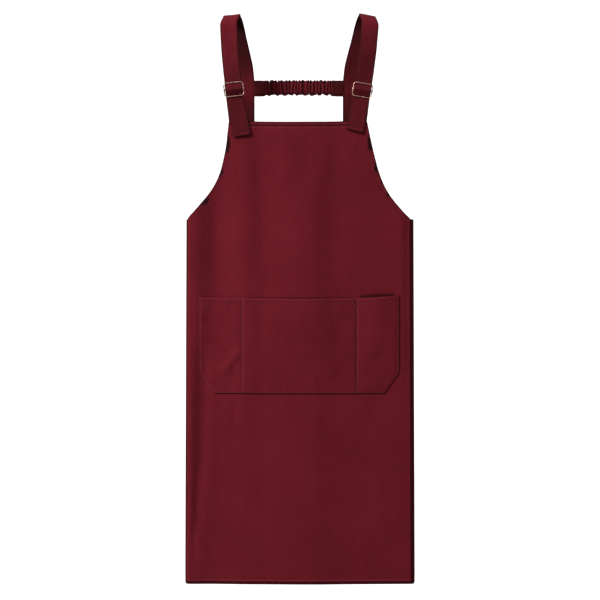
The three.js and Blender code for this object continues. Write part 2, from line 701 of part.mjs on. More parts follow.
// Three-bar slider: a rounded frame with two windows, and a small nub where the centre bar meets each side.
function makeSlider(sideRow, course) {
  const frame = sliderFrame(sideRow, course);
  const halfWindow = strapWidth / 2 + sliderClearance;
  const halfWidth = halfWindow + wire;
  const halfHeight = barPitch + barRadius;
  const shape = new THREE.Shape();
  const straight = halfHeight - sliderCorner;
  const nub = nubLength / 2;
  shape.moveTo(halfWidth, -straight);
  shape.lineTo(halfWidth, -nub);
  shape.quadraticCurveTo(halfWidth + nubHeight * 2, 0, halfWidth, nub);
  shape.lineTo(halfWidth, straight);
  shape.absarc(halfWidth - sliderCorner, straight, sliderCorner, 0, Math.PI / 2);
  shape.lineTo(-halfWidth + sliderCorner, halfHeight);
  shape.absarc(-halfWidth + sliderCorner, straight, sliderCorner, Math.PI / 2, Math.PI);
  shape.lineTo(-halfWidth, nub);
  shape.quadraticCurveTo(-halfWidth - nubHeight * 2, 0, -halfWidth, -nub);
  shape.lineTo(-halfWidth, -straight);
  shape.absarc(-halfWidth + sliderCorner, -straight, sliderCorner, Math.PI, Math.PI * 1.5);
  shape.lineTo(halfWidth - sliderCorner, -halfHeight);
  shape.absarc(halfWidth - sliderCorner, -straight, sliderCorner, Math.PI * 1.5, Math.PI * 2);
  const innerCorner = sliderCorner - wire;
  [1, -1].forEach((up) => {
    const near = up * barRadius;
    const far = up * (barPitch - barRadius);
    const bend = far - up * innerCorner;
    const window = new THREE.Path();
    window.moveTo(-halfWindow, near);
    window.lineTo(halfWindow, near);
    window.lineTo(halfWindow, bend);
    window.absarc(halfWindow - innerCorner, bend, innerCorner, 0, (up * Math.PI) / 2, up < 0);
    window.lineTo(-halfWindow + innerCorner, far);
    window.absarc(-halfWindow + innerCorner, bend, innerCorner, (up * Math.PI) / 2, up * Math.PI, up < 0);
    shape.holes.push(window);
  });
  const geometry = new THREE.ExtrudeGeometry(shape, {
    depth: wire - 2 * wireBevel,
    curveSegments: wireCornerSteps,
    bevelThickness: wireBevel,
    bevelSize: wireBevel,
    bevelOffset: -wireBevel,
    bevelSegments: 1,
  });
  geometry.translate(0, 0, wireBevel - barRadius);
  const mesh = new THREE.Mesh(geometry, metalMaterial(`slider_${sideRow.name}`));
  mesh.name = `slider_${sideRow.name}`;
  mesh.position.copy(frame.centre);
  mesh.rotation.set(Math.PI / 2, sideRow.side * frame.tilt, 0, 'YXZ');
  return mesh;
}

// The gathered casing: flat at its ends, folded between them, with a frill beyond the stitch line at each
// long edge.
function makeBand() {
  const endsAt = (z) => sides.map((sideRow, i) => {
    const middle = strapBackX(sideRow, strapCourses[i], z);
    return middle - sideRow.side * (strapWidth / 2 + seatGap);
  });
  const [left, right] = endsAt(-bandDrop - bandHeight);
  const length = right - left;
  const gathers = Math.round((length - 2 * plainEnd) / gatherPitch);
  const columns = [left, ...spread(left + plainEnd, right - plainEnd, gathers * 2), right];
  const rowTable = [
    { down: 0, wall: 0.45, fold: 1, frill: 1 },
    { down: frillHeight / bandHeight, wall: 0.55, fold: 0.5, frill: 0.3 },
    { down: 0.5, wall: 1, fold: 0.8, frill: 0 },
    { down: 1 - frillHeight / bandHeight / 2, wall: 0.8, fold: 0.6, frill: -0.4 },
    { down: 1, wall: 0.45, fold: 0.9, frill: -0.6 },
  ];
  const y = loopDepth / 2 + clothWall / 2 + seatGap + strapWall / 2;
  const rows = rowTable.map(({ down, fold, frill }) => columns.map((x, j) => {
    const inMiddle = ease((x - left) / plainEnd - gatherStart) * ease((right - x) / plainEnd - gatherStart);
    const wave = j % 2 === 0 ? 1 : -1;
    const uneven = 1 - gatherUneven + gatherUneven * Math.sin(j * gatherBeat);
    const height = bandHeight - bandWaist * inMiddle;
    const rise = frill * wave * uneven * inMiddle * frillRise;
    const z = -bandDrop - down * height + rise;
    const sewnX = j === 0 ? endsAt(z)[0] : endsAt(z)[1];
    const atEnd = j === 0 || j === columns.length - 1;
    return new THREE.Vector3(atEnd ? sewnX : x, y + fold * wave * uneven * inMiddle * gatherDepth, z);
  }));
  return strip(rows, (i) => rowTable[i].wall * bandWall);
}

function clothMaterial(name) {
  return new THREE.MeshStandardMaterial({ name, color: 0x641c25, roughness: 0.85, metalness: 0 });
}

function metalMaterial(name) {
  return new THREE.MeshStandardMaterial({ name, color: 0xc79a8e, roughness: 0.3, metalness: 1 });
}

function clothMesh(name, geometry) {
  const mesh = new THREE.Mesh(geometry, clothMaterial(name));
  mesh.name = name;
  return mesh;
}

const apron = new THREE.Group();
apron.add(clothMesh('front_panel', makeFrontPanel()));
apron.add(clothMesh('pocket', makePocket()));
apron.add(clothMesh('back_band', makeBand()));
sides.forEach((sideRow, i) => {
  const course = strapCourses[i];
  apron.add(clothMesh(`back_panel_${sideRow.name}`, makeBackPanel(sideRow, course)));
  apron.add(clothMesh(`shoulder_strap_${sideRow.name}`, makeStrap(sideRow, course)));
  apron.add(clothMesh(`bib_tab_${sideRow.name}`, makeTab(sideRow, course)));
  apron.add(makeSlider(sideRow, course));
});

export default apron;
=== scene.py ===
# Maroon canvas kitchen apron, hanging open by its two shoulder straps.
# Shapes are worked out in millimetres, and each mesh is turned to metres as it is made.
import math
import bpy
import numpy as np
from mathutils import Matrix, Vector


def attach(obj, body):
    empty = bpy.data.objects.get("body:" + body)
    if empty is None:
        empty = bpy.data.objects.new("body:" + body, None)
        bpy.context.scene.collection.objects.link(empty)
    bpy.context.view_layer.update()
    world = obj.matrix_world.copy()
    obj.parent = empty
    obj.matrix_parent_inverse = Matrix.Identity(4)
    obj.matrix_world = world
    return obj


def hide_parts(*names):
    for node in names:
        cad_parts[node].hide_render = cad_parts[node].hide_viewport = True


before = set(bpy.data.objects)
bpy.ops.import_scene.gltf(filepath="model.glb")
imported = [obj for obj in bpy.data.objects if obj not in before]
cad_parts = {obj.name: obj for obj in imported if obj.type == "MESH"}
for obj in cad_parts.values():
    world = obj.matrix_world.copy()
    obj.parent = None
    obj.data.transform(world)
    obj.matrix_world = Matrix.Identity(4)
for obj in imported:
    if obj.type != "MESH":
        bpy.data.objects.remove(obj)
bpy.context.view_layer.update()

print("frame loaded:", len(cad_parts), "nodes")


def tableRows(names, rows):  # a table's rows, each by the names of its columns
    return [dict(zip(names.split(), row)) for row in rows]


# How the apron hangs, in millimetres. The shoulder line is at height 0.
hang = {
    "bibTop": -193, "bibWidth": 247.5, "bibSag": 2.2, "bibLean": 4,
    "armhole": 176.0,     # bib's top edge down to the side seams
    "skirt": 658.7,         # side seams' top down to the bottom edge
    "skirtWidth": 410.5, "hemWidth": 415,
    "sideDepth": 18, "bodyDepth": 31, "loopDepth": 52,
    "foldDepth": 7.5, "backFoldDepth": 4,
    "cloth": 1.2, "hemExtra": 0.8, "strapCloth": 2.0, "tabCloth": 1.2, "seatGap": 0.3,
    "rippleSize": 105, "rippleHeight": 0.3, "rippleSeed": 7, "streakSize": 36, "streakHeight": 0.1,
}

# Drape folds of the front, from the left side fold, -1, to the right one, 1, as shares of the fold depth
frontFolds = {
    "at": [-1, -0.97, -0.76, -0.48, -0.35, -0.22, 0.1, 0.36, 0.64, 0.92, 1],
    "rise": [0, 0.06, -1.2, 0.06, -0.28, 0.24, 0.98, 0.2, 0.38, 0.42, 0],
}
# Their strength from the bib's top edge, 0, to the bottom edge, 1
foldStrength = {"down": [0, 0.22, 0.42, 0.6, 1], "strength": [0.5, 1, 0.8, 0.28, 0.14]}
# Folds of the back panels, from the centre line, 0, to the side fold, 1
backFolds = {"at": [0.2, 0.45, 0.72, 1], "rise": [0.8, -0.6, 0.7, 0]}

# Each side seam lies on the side fold at this angle of its turn: 0 faces the front, 90 faces sideways.
sides = tableRows("name side seamAngle", [("left", -1, 60), ("right", 1, 26)])


def mix(a, b, t):
    return a + (b - a) * t


def clamp(t):
    return np.clip(t, 0, 1)


def ease(t):
    t = clamp(t)
    return t * t * (3 - 2 * t)


def ridge(distance, width):  # a soft line, 1 along its middle
    return np.exp(-(distance / width) ** 2)


# The second column at places in the first, as a smooth curve that doesn't overshoot
def readTable(table, place):
    at, value = (np.array(column, float) for column in table.values())
    span = np.diff(at)
    rise = np.diff(value) / span
    slope = np.zeros(len(at))
    same = rise[:-1] * rise[1:] > 0
    slope[1:-1][same] = (2 * rise[:-1] * rise[1:])[same] / (rise[:-1] + rise[1:])[same]
    place = np.clip(place, at[0], at[-1])
    i = np.clip(np.searchsorted(at, place, side="right") - 1, 0, len(at) - 2)
    t = (place - at[i]) / span[i]
    bend = (1 - t) * slope[i] - t * slope[i + 1]
    return mix(value[i], value[i + 1], ease(t)) + t * (1 - t) * span[i] * bend


def wobble(place, period, seed):  # an uneven wave between -1 and 1
    phases = np.random.default_rng(seed).uniform(0, 2 * math.pi, 3)
    waves = [np.sin(2 * math.pi * place / (period * stretch) + phase)
             for stretch, phase in zip((0.61, 1, 1.73), phases)]
    return sum(waves) / 3


def ripples(x, z, size, seed, count=9):  # small unevenness: waves of many directions
    rng = np.random.default_rng(seed)
    total = 0
    for _ in range(count):
        turn, stretch, phase = rng.uniform(0, math.pi), rng.uniform(0.6, 1.5), rng.uniform(0, 2 * math.pi)
        along = x * math.cos(turn) + z * math.sin(turn)
        total = total + np.sin(2 * math.pi * along / (size * stretch) + phase)
    return total / math.sqrt(count)


def creaseHeight(rows, x, z):  # straight soft creases, each fading at its two ends
    total = np.zeros(np.broadcast(x, z).shape)
    for row in rows:
        reachX, reachZ = row["toX"] - row["x"], row["toZ"] - row["z"]
        length = math.hypot(reachX, reachZ)
        t = ((x - row["x"]) * reachX + (z - row["z"]) * reachZ) / length ** 2
        away = ((x - row["x"]) * reachZ - (z - row["z"]) * reachX) / length
        faded = row["height"] * ridge(away, row["width"]) * ease((t + 0.2) / 0.4)
        total = total + faded * ease((1.2 - t) / 0.4)
    return total


bibTop = hang["bibTop"]
sideTop = bibTop - hang["armhole"]
bottom = sideTop - hang["skirt"]
foldRadius = hang["sideDepth"] / 2
turnLength = math.pi * foldRadius
swell = (hang["bodyDepth"] - hang["sideDepth"]) / 2
cloth = hang["cloth"]
hemIn = cloth / 2 + hang["hemExtra"]
# middle of a strap to the middle of the cloth that it lies on
backOff = cloth / 2 + hang["seatGap"] + hang["strapCloth"] / 2

# Creases of the front cloth, x and z of both ends, the width and the height
frontCreases = tableRows("x z toX toZ width height", [
    (-174, -600, -178, -790, 14, -4.6),
    (-178, -790, -192, -950, 12, -4.2),
    (-140, -600, -142, -905, 30, -1.2),
    (-120, -470, -105, -506, 7, 0.5),
    (-62, -430, -76, -505, 9, 0.9),
    (78, -450, 92, -500, 12, 0.5),
    (-118, -700, -122, -770, 6, -0.9),
    (-152, -690, -170, -760, 9, 0.6),
    (-104, -700, -92, -790, 10, 0.5),
    (128, -700, 140, -735, 11, -0.6),
    (40, -705, 22, -760, 9, 0.4),
    (-203, -880, -166, -1000, 9, 1.5),
    (-188, -935, -178, -1010, 5, 0.8),
    (-16, -225, -20, -300, 15, 1.2),
    (16, -225, 14, -300, 13, -1.2),
    (50, -225, 48, -295, 13, 1.1),
    (-110, -232, -84, -300, 14, 0.7),
    (-18, -232, -30, -205, 6, 0.5),
    (104, -226, 84, -262, 8, 0.5),
])


def flatHalf(z):  # half of the hanging body's flat stretch
    return mix(hang["skirtWidth"], hang["hemWidth"], clamp((sideTop - z) / hang["skirt"])) / 2 - foldRadius


def liftAt(z):  # 0 where the cloth follows the body, 1 where it has reached the plane of the straps
    return ease((z - sideTop) / hang["armhole"])


def clothPoint(arc, z):  # middle of the cloth, at a distance along it from the centre front
    arc, z = np.broadcast_arrays(np.asarray(arc, float), np.asarray(z, float))
    side = np.where(arc < 0, -1.0, 1.0)
    run = np.abs(arc)
    flat = flatHalf(z)
    lift = liftAt(z)
    share = clamp(run / flat)
    down = (bibTop - z) / (bibTop - bottom)
    fold = readTable(frontFolds, side * share) * readTable(foldStrength, down) * hang["foldDepth"]
    small = hang["rippleHeight"] * ripples(arc, z * 0.5, hang["rippleSize"], hang["rippleSeed"])
    small = small + hang["streakHeight"] * ripples(arc, z * 0.16, hang["streakSize"], hang["rippleSeed"] + 1)
    small = (small + creaseHeight(frontCreases, arc, z)) * ease((1 - share) * 22)
    depth = mix(foldRadius + swell * (1 - share ** 2) ** 2, hang["loopDepth"] / 2, lift) + fold + small
    turn = np.clip((run - flat) / foldRadius, 0, math.pi)
    past = np.maximum(run - flat - turnLength, 0)
    backX = flat + foldRadius * np.sin(turn) - past
    backShare = clamp(backX / flat)
    backFold = readTable(backFolds, backShare) * hang["backFoldDepth"]
    hung = -foldRadius * np.cos(turn) + (past > 0) * (swell * (1 - backShare ** 2) ** 2 + backFold)
    lean = hang["bibLean"] * lift
    onFront = run <= flat
    x = np.where(onFront, arc - lean, side * backX - lean * (1 - turn / math.pi))
    y = np.where(onFront, -depth, mix(hung, -hang["loopDepth"] / 2 * np.cos(turn), lift))
    return np.stack([x, y, z], -1)


def unit(vectors):
    return vectors / np.maximum(np.linalg.norm(vectors, axis=-1, keepdims=True), 1e-9)


def clothNormal(arc, z, step=0.5):
    across = clothPoint(arc + step, z) - clothPoint(arc - step, z)
    up = clothPoint(arc, z + step) - clothPoint(arc, z - step)
    return unit(np.cross(across, up))


def offCloth(arc, z, distance):
    arc, z = np.broadcast_arrays(np.asarray(arc, float), np.asarray(z, float))
    return clothPoint(arc, z) + clothNormal(arc, z) * np.asarray(distance)[..., None]


def offFront(x, z, distance):  # the same for a place given by its x on the flat front
    return offCloth(x + hang["bibLean"] * liftAt(z), z, distance)


def backArc(fromCentre, z):
    return 2 * flatHalf(z) + turnLength - fromCentre


def seamArc(sideRow, z, gapSide):
    gap = gapSide * hang["seatGap"] / 2
    return sideRow["side"] * (flatHalf(z) + foldRadius * math.radians(sideRow["seamAngle"]) + gap)


def bezier(start, end, controls, t):  # controls are shares of the reach across and of the drop
    points = [np.array(start, float)]
    points += [mix(np.array(start, float), np.array(end, float), np.array(share)) for share in controls]
    points.append(np.array(end, float))
    t = np.asarray(t)[..., None]
    return ((1 - t) ** 3 * points[0] + 3 * t * (1 - t) ** 2 * points[1]
            + 3 * t ** 2 * (1 - t) * points[2] + t ** 3 * points[3])


def steps(start, end, size):  # evenly spaced values about this size apart
    return np.linspace(start, end, max(2, round(abs(end - start) / size) + 1))


def joinSteps(*parts):  # sorted values of several runs, without near copies
    values = np.sort(np.concatenate(parts))
    return values[np.concatenate([[True], np.diff(values) > 0.05])]


def nearLine(line, arc, z):  # distance to a line of places, and how far along it the nearest place is
    along = np.concatenate([[0], np.cumsum(np.linalg.norm(np.diff(line, axis=0), axis=1))])
    fine = np.arange(0, along[-1], 1.0)
    spots = np.stack([np.interp(fine, along, line[:, i]) for i in (0, 1)], -1)
    heading = unit(np.gradient(spots, axis=0))
    shape = np.broadcast(arc, z).shape
    flatArc, flatZ = (np.broadcast_to(v, shape).reshape(-1) for v in (arc, z))
    distance, place = np.empty(flatArc.size), np.empty(flatArc.size)
    for first in range(0, flatArc.size, 4000):
        part = slice(first, first + 4000)
        gapArc = flatArc[part, None] - spots[None, :, 0]
        gapZ = flatZ[part, None] - spots[None, :, 1]
        nearest = np.argmin(gapArc ** 2 + gapZ ** 2, axis=1)
        rows = np.arange(len(nearest))
        gapArc, gapZ = gapArc[rows, nearest], gapZ[rows, nearest]
        ends = (nearest == 0) | (nearest == len(fine) - 1)
        cross = np.abs(gapArc * heading[nearest, 1] - gapZ * heading[nearest, 0])
        distance[part] = np.where(ends, np.hypot(gapArc, gapZ), cross)
        place[part] = fine[nearest]
    return distance.reshape(shape), place.reshape(shape)


# Meshes

def addMesh(name, points, faces, uv=None, paintedShadeAndWear=None):
    mesh = bpy.data.meshes.new(name)
    mesh.from_pydata((np.asarray(points) / 1000).tolist(), [], faces)
    corners = np.empty(len(mesh.loops), int)
    mesh.loops.foreach_get("vertex_index", corners)
    if uv is not None:
        mesh.uv_layers.new(name="weave").data.foreach_set("uv", np.asarray(uv)[corners].astype(float).ravel())
    # the cloth's tone per point: below 0 painted shade in seams, grooves and folds, above 0 painted
    # highlights and wear on ridges
    paintedShadeAndWearValues = np.zeros(len(points)) if paintedShadeAndWear is None else np.clip(paintedShadeAndWear, -1, 1)
    mesh.attributes.new("paintedShadeAndWear", "FLOAT", "POINT").data.foreach_set("value", paintedShadeAndWearValues.astype(np.float32))
    mesh.polygons.foreach_set("use_smooth", [True] * len(mesh.polygons))
    mesh.update()
    piece = bpy.data.objects.new(name, mesh)
    bpy.context.collection.objects.link(piece)
    return piece


def outwards(points, quads):  # turns the faces round if they point in
    corner = points[quads]
    volume = np.einsum("ij,ij->i", corner[:, 0], np.cross(corner[:, 1], corner[:, 2])).sum()
    volume += np.einsum("ij,ij->i", corner[:, 0], np.cross(corner[:, 2], corner[:, 3])).sum()
    return quads[:, ::-1] if volume < 0 else quads


def wallMesh(name, outer, inner, uv, paintedShadeAndWear, innerPaintedShadeAndWear=None, rimRows=3):
    # A closed wall of cloth between two grids, with a rounded edge all round
    rows, columns = outer.shape[:2]
    number = np.arange(rows * columns).reshape(rows, columns)
    faces = np.stack([number[:-1, :-1], number[1:, :-1], number[1:, 1:], number[:-1, 1:]], -1).reshape(-1, 4)
    rim = np.concatenate([number[0, :-1], number[:-1, -1], number[-1, :0:-1], number[:0:-1, 0]])
    r, c = rim // columns, rim % columns
    middle = (outer + inner) / 2
    half = (outer - inner)[r, c] / 2
    inside = middle[np.clip(r, 1, rows - 2), np.clip(c, 1, columns - 2)]
    bulge = unit(middle[r, c] - inside) * np.linalg.norm(half, axis=1, keepdims=True) * 0.8
    points = [outer.reshape(-1, 3), inner.reshape(-1, 3)]
    total = rows * columns
    loops = [rim]
    for k in range(1, rimRows + 1):
        angle = math.pi * k / (rimRows + 1)
        points.append(middle[r, c] + half * math.cos(angle) + bulge * math.sin(angle))
        loops.append(2 * total + (k - 1) * len(rim) + np.arange(len(rim)))
    loops.append(rim + total)
    quads = [faces, faces[:, ::-1] + total]
    for near, far in zip(loops[:-1], loops[1:]):
        quads.append(np.stack([near, np.roll(near, -1), np.roll(far, -1), far], -1))
    points = np.concatenate(points)
    rimCopies = [v.reshape(total, -1)[rim] for v in (uv, paintedShadeAndWear)]
    uvAll = np.concatenate([uv.reshape(total, 2)] * 2 + [rimCopies[0]] * rimRows)
    innerPaintedShadeAndWear = paintedShadeAndWear if innerPaintedShadeAndWear is None else innerPaintedShadeAndWear
    allPaintedShadeAndWear = np.concatenate([paintedShadeAndWear.reshape(total), innerPaintedShadeAndWear.reshape(total)] + [rimCopies[1][:, 0]] * rimRows)
    return addMesh(name, points, outwards(points, np.concatenate(quads)).tolist(), uvAll, allPaintedShadeAndWear)


def sheetNormals(grid):
    return unit(np.cross(np.gradient(grid, axis=1), np.gradient(grid, axis=0)))


def alongRows(grid):  # distance along the middle column of a grid
    gaps = np.linalg.norm(np.diff(grid[:, grid.shape[1] // 2], axis=0), axis=1)
    return np.concatenate([[0], np.cumsum(gaps)])


def stitchLine(points, normals):  # a sewing line on a surface, as places and the way out of the cloth
    return np.asarray(points, float), unit(np.asarray(normals, float))


thread = {"length": 2.4, "pitch": 3.1, "radius": 0.22, "proud": 0.12, "sink": 0.28, "sides": 6}


def stitchMesh(name, lines):
    # Each stitch is a short arched stretch of thread that dives into the cloth at both ends
    stations = [0.14, 0.5, 0.86]
    lifts = [0.0, thread["proud"], 0.0]
    widths = [0.8, 1.0, 0.8]
    sidesCount = thread["sides"]
    points, faces, uv = [], [], []
    for line, normals in lines:
        along = np.concatenate([[0], np.cumsum(np.linalg.norm(np.diff(line, axis=0), axis=1))])
        count = int(along[-1] / thread["pitch"])
        if count < 1:
            continue
        starts = (np.arange(count) + 0.5) * along[-1] / count - thread["length"] / 2

        def sample(values, at):
            return np.stack([np.interp(at, along, values[:, i]) for i in range(3)], -1)
        first, last = sample(line, starts), sample(line, starts + thread["length"])
        out = unit(sample(normals, starts + thread["length"] / 2))
        ahead = unit(last - first)
        aside = np.cross(ahead, out)
        rings = []
        for t, lift, width in zip(stations, lifts, widths):
            centre = sample(line, starts + t * thread["length"]) + out * lift
            for k in range(sidesCount):
                angle = 2 * math.pi * k / sidesCount
                around = out * math.cos(angle) + aside * math.sin(angle)
                rings.append(centre + around * thread["radius"] * width)
        tips = [first - out * thread["sink"], last - out * thread["sink"]]
        block = np.stack(tips + rings, 1)
        size = block.shape[1]
        base = sum(len(p) for p in points)
        ringUv = [(t * thread["length"] / 1000, k / sidesCount / 1000)
                  for t in stations for k in range(sidesCount)]
        uv += ([(0, 0), (thread["length"] / 1000, 0)] + ringUv) * count
        points.append(block.reshape(-1, 3))
        for i in range(count):
            ring = [[base + i * size + 2 + s * sidesCount + k for k in range(sidesCount)] for s in range(3)]
            for k in range(sidesCount):
                after = (k + 1) % sidesCount
                faces.append((base + i * size, ring[0][after], ring[0][k]))
                faces.append((ring[0][k], ring[0][after], ring[1][after], ring[1][k]))
                faces.append((ring[1][k], ring[1][after], ring[2][after], ring[2][k]))
                faces.append((ring[2][k], ring[2][after], base + i * size + 1))
    return addMesh(name, np.concatenate(points), faces, uv)


# Materials

def hexToLinear(text):
    channels = [int(text[i:i + 2], 16) / 255 for i in (1, 3, 5)]
    return (*[c / 12.92 if c <= 0.04045 else ((c + 0.055) / 1.055) ** 2.4 for c in channels], 1.0)


def addNode(tree, kind, settings=None, links=None):
    node = tree.nodes.new("ShaderNode" + kind)
    for name, value in (settings or {}).items():
        if isinstance(name, int) or name in node.inputs:
            node.inputs[name].default_value = value
        else:
            setattr(node, name, value)
    for name, source in (links or {}).items():     # a node stands for its first output
        socket = source.outputs[0] if isinstance(source, bpy.types.Node) else source
        tree.links.new(socket, node.inputs[name])
    return node


def newMaterial(name):
    material = bpy.data.materials.new(name)
    material.use_nodes = True
    material.node_tree.nodes.clear()
    return material, material.node_tree


def setStops(ramp, stops):  # a colour ramp's places and colours
    elements = ramp.color_ramp.elements
    while len(elements) < len(stops):
        elements.new(0.5)
    for element, (place, colour) in zip(elements, stops):
        element.position = place
        element.color = hexToLinear(colour)


twill = {
    # from the deepest painted shade in a seam, 0, over the plain dye, 0.5, to a painted highlight on a worn
    # ridge, 1
    "tones": [(0.0, "#200205"), (0.3, "#3e070e"), (0.5, "#5a101b"), (1.0, "#7a2935")],
    "ribPitch": 1.6,      # real ribs, about 0.8 mm apart, are too fine to show: drawn twice as coarse
    "pickPitch": 1.1,     # crossing threads, drawn about twice as coarse too
    "slub": 5.0,          # length of a thick place in a thread
    "cloud": 95.0,        # size of the uneven patches of dye
    "ribHeight": 0.00006, "roughness": 0.88, "sheen": 0.03,
}


def cottonTwill(name, lift=0.0, sheen=None):
    # Piece-dyed cotton twill, woven and pressed: matt, with fine slanting ribs, faint slubs and an even
    # deep dye, with painted highlights on worn ridges and painted shade in seams. Sizes in millimetres
    # become repeats for each metre of cloth.
    material, tree = newMaterial(name)
    place = addNode(tree, "UVMap", {"uv_map": "weave"})
    axes = addNode(tree, "SeparateXYZ", None, {"Vector": place})
    slant = addNode(tree, "Math", {"operation": "ADD"}, {0: axes.outputs["X"], 1: axes.outputs["Y"]})
    turns = 2 * math.pi * 1000
    ribAngle = addNode(tree, "Math", {"operation": "MULTIPLY", 1: turns / (twill["ribPitch"] * 1.41)},
                       {0: slant})
    rib = addNode(tree, "Math", {"operation": "SINE"}, {0: ribAngle})
    pickAngle = addNode(tree, "Math", {"operation": "MULTIPLY", 1: turns / twill["pickPitch"]},
                        {0: axes.outputs["Y"]})
    pick = addNode(tree, "Math", {"operation": "SINE"}, {0: pickAngle})
    stretched = addNode(tree, "Mapping", {"Scale": (1.0, 0.12, 1.0)}, {"Vector": place})
    slub = addNode(tree, "TexNoise", {"Scale": 1000 / twill["slub"] * 2, "Detail": 3.0},
                   {"Vector": stretched})
    spot = addNode(tree, "TexCoord")
    cloud = addNode(tree, "TexNoise", {"Scale": 1000 / twill["cloud"], "Detail": 4.0, "Roughness": 0.6},
                    {"Vector": spot.outputs["Object"]})
    paintedShadeAndWear = addNode(tree, "Attribute", {"attribute_name": "paintedShadeAndWear"})
    # tone: 0.5 is the plain dye, less is darker with painted shade, more is paler with painted highlights and
    # wear
    fromPaintedShadeAndWear = addNode(tree, "Math", {"operation": "MULTIPLY_ADD", 1: 0.5, 2: 0.5 + lift},
                       {0: paintedShadeAndWear.outputs["Fac"]})
    fromCloud = addNode(tree, "Math", {"operation": "MULTIPLY_ADD", 1: 0.16, 2: -0.08}, {0: cloud})
    fromSlub = addNode(tree, "Math", {"operation": "MULTIPLY_ADD", 1: 0.14, 2: -0.07}, {0: slub})
    fromRib = addNode(tree, "Math", {"operation": "MULTIPLY_ADD", 1: 0.02}, {0: rib, 2: fromSlub})
    partTone = addNode(tree, "Math", {"operation": "ADD"}, {0: fromPaintedShadeAndWear, 1: fromCloud})
    tone = addNode(tree, "Math", {"operation": "ADD"}, {0: partTone, 1: fromRib})
    colour = addNode(tree, "ValToRGB", None, {"Fac": tone})
    setStops(colour, twill["tones"])
    roughness = addNode(tree, "Math", {"operation": "MULTIPLY_ADD", 1: 0.1, 2: twill["roughness"] - 0.05},
                        {0: slub})
    weave = addNode(tree, "Math", {"operation": "MULTIPLY_ADD", 1: 0.4}, {0: pick, 2: rib})
    relief = addNode(tree, "Math", {"operation": "MULTIPLY_ADD", 1: 2.0}, {0: slub, 2: weave})
    bump = addNode(tree, "Bump", {"Strength": 0.35, "Distance": twill["ribHeight"]}, {"Height": relief})
    shader = addNode(tree, "BsdfPrincipled", {
        "IOR": 1.5, "Specular IOR Level": 0.1, "Sheen Weight": twill["sheen"] if sheen is None else sheen,
        "Sheen Roughness": 0.5, "Sheen Tint": hexToLinear("#d99aa0"),
    }, {"Base Color": colour, "Roughness": roughness, "Normal": bump})
    addNode(tree, "OutputMaterial", None, {"Surface": shader})
    return material


def polyesterThread():
    # Spun polyester sewing thread, dyed to match: a little smoother than the cloth, with a slanting twist
    twist = 0.7  # mm for one turn of the twist, which is its real size
    material, tree = newMaterial("polyester sewing thread")
    place = addNode(tree, "UVMap", {"uv_map": "weave"})
    axes = addNode(tree, "SeparateXYZ", None, {"Vector": place})
    across = addNode(tree, "Math", {"operation": "MULTIPLY_ADD", 1: 1 / twist},
                     {0: axes.outputs["X"], 2: axes.outputs["Y"]})
    angle = addNode(tree, "Math", {"operation": "MULTIPLY", 1: 2 * math.pi * 1000}, {0: across})
    ply = addNode(tree, "Math", {"operation": "SINE"}, {0: angle})
    tone = addNode(tree, "Math", {"operation": "MULTIPLY_ADD", 1: 0.2, 2: 0.5}, {0: ply})
    colour = addNode(tree, "ValToRGB", None, {"Fac": tone})
    setStops(colour, [(0.0, "#4a0f17"), (1.0, "#7c2a34")])
    bump = addNode(tree, "Bump", {"Strength": 0.5, "Distance": 0.00005}, {"Height": ply})
    shader = addNode(tree, "BsdfPrincipled", {"Roughness": 0.6, "IOR": 1.54, "Specular IOR Level": 0.4},
                     {"Base Color": colour, "Normal": bump})
    addNode(tree, "OutputMaterial", None, {"Surface": shader})
    return material


def roseGoldPlate():
    # Drawn steel wire, polished and plated antique rose gold: a warm pink shine with faint draw lines and
    # patches of tarnish
    grain = 0.6  # mm between draw lines, drawn about ten times coarser than the real ones
    material, tree = newMaterial("rose gold plated wire")
    spot = addNode(tree, "TexCoord")
    tarnish = addNode(tree, "TexNoise", {"Scale": 160.0, "Detail": 3.0}, {"Vector": spot.outputs["Object"]})
    lines = addNode(tree, "TexNoise", {"Scale": 1000 / grain, "Detail": 2.0},
                    {"Vector": spot.outputs["Object"]})
    colour = addNode(tree, "ValToRGB", None, {"Fac": tarnish})
    setStops(colour, [(0.25, "#8a5a4c"), (0.6, "#e0b3a2"), (1.0, "#f3d2c0")])
    roughness = addNode(tree, "Math", {"operation": "MULTIPLY_ADD", 1: 0.22, 2: 0.16}, {0: tarnish})
    bump = addNode(tree, "Bump", {"Strength": 0.15, "Distance": 0.00004}, {"Height": lines})
    shader = addNode(tree, "BsdfPrincipled", {"Metallic": 1.0},
                     {"Base Color": colour, "Roughness": roughness,
                      "Normal": bump})
    addNode(tree, "OutputMaterial", None, {"Surface": shader})
    return material


canvasTwill = cottonTwill("woven cotton twill")
strapTwill = cottonTwill("folded and pressed cotton twill", sheen=0.05)
gatheredTwill = cottonTwill("gathered cotton twill", lift=-0.03)
sewingThread = polyesterThread()
platedWire = roseGoldPlate()
print("materials ready")


def finishPiece(piece, material, node=None):
    piece.data.materials.append(material)
    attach(piece, "root")
    if node:
        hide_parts(node)
    return piece


def sewPiece(name, lines):
    return finishPiece(stitchMesh(name, lines), sewingThread)


# Front panel

panel = {
    "hemStitch": 6.2,       # bib's top edge down to its stitch line
    "armholeStitch": 7.0, "bottomStitch": 7.4, "seamTuck": 2.0,
    "groove": 0.45, "pucker": 0.34, "puckerPeriod": 13, "roll": 1.9, "rollWidth": 8.0,
    "topHem": 9, "sideHem": 9.5, "bottomHem": 16,   # reach of each hem's second layer
    "cell": 3.4, "rowStep": 3.6, "hemStep": 1.1, "fineTop": 14,
    "edgeCells": [0, 0.7, 1.4, 2.2, 3.1, 4.1, 5.2, 6.4, 7.6, 8.8, 10.2, 12, 14.5, 18],
}
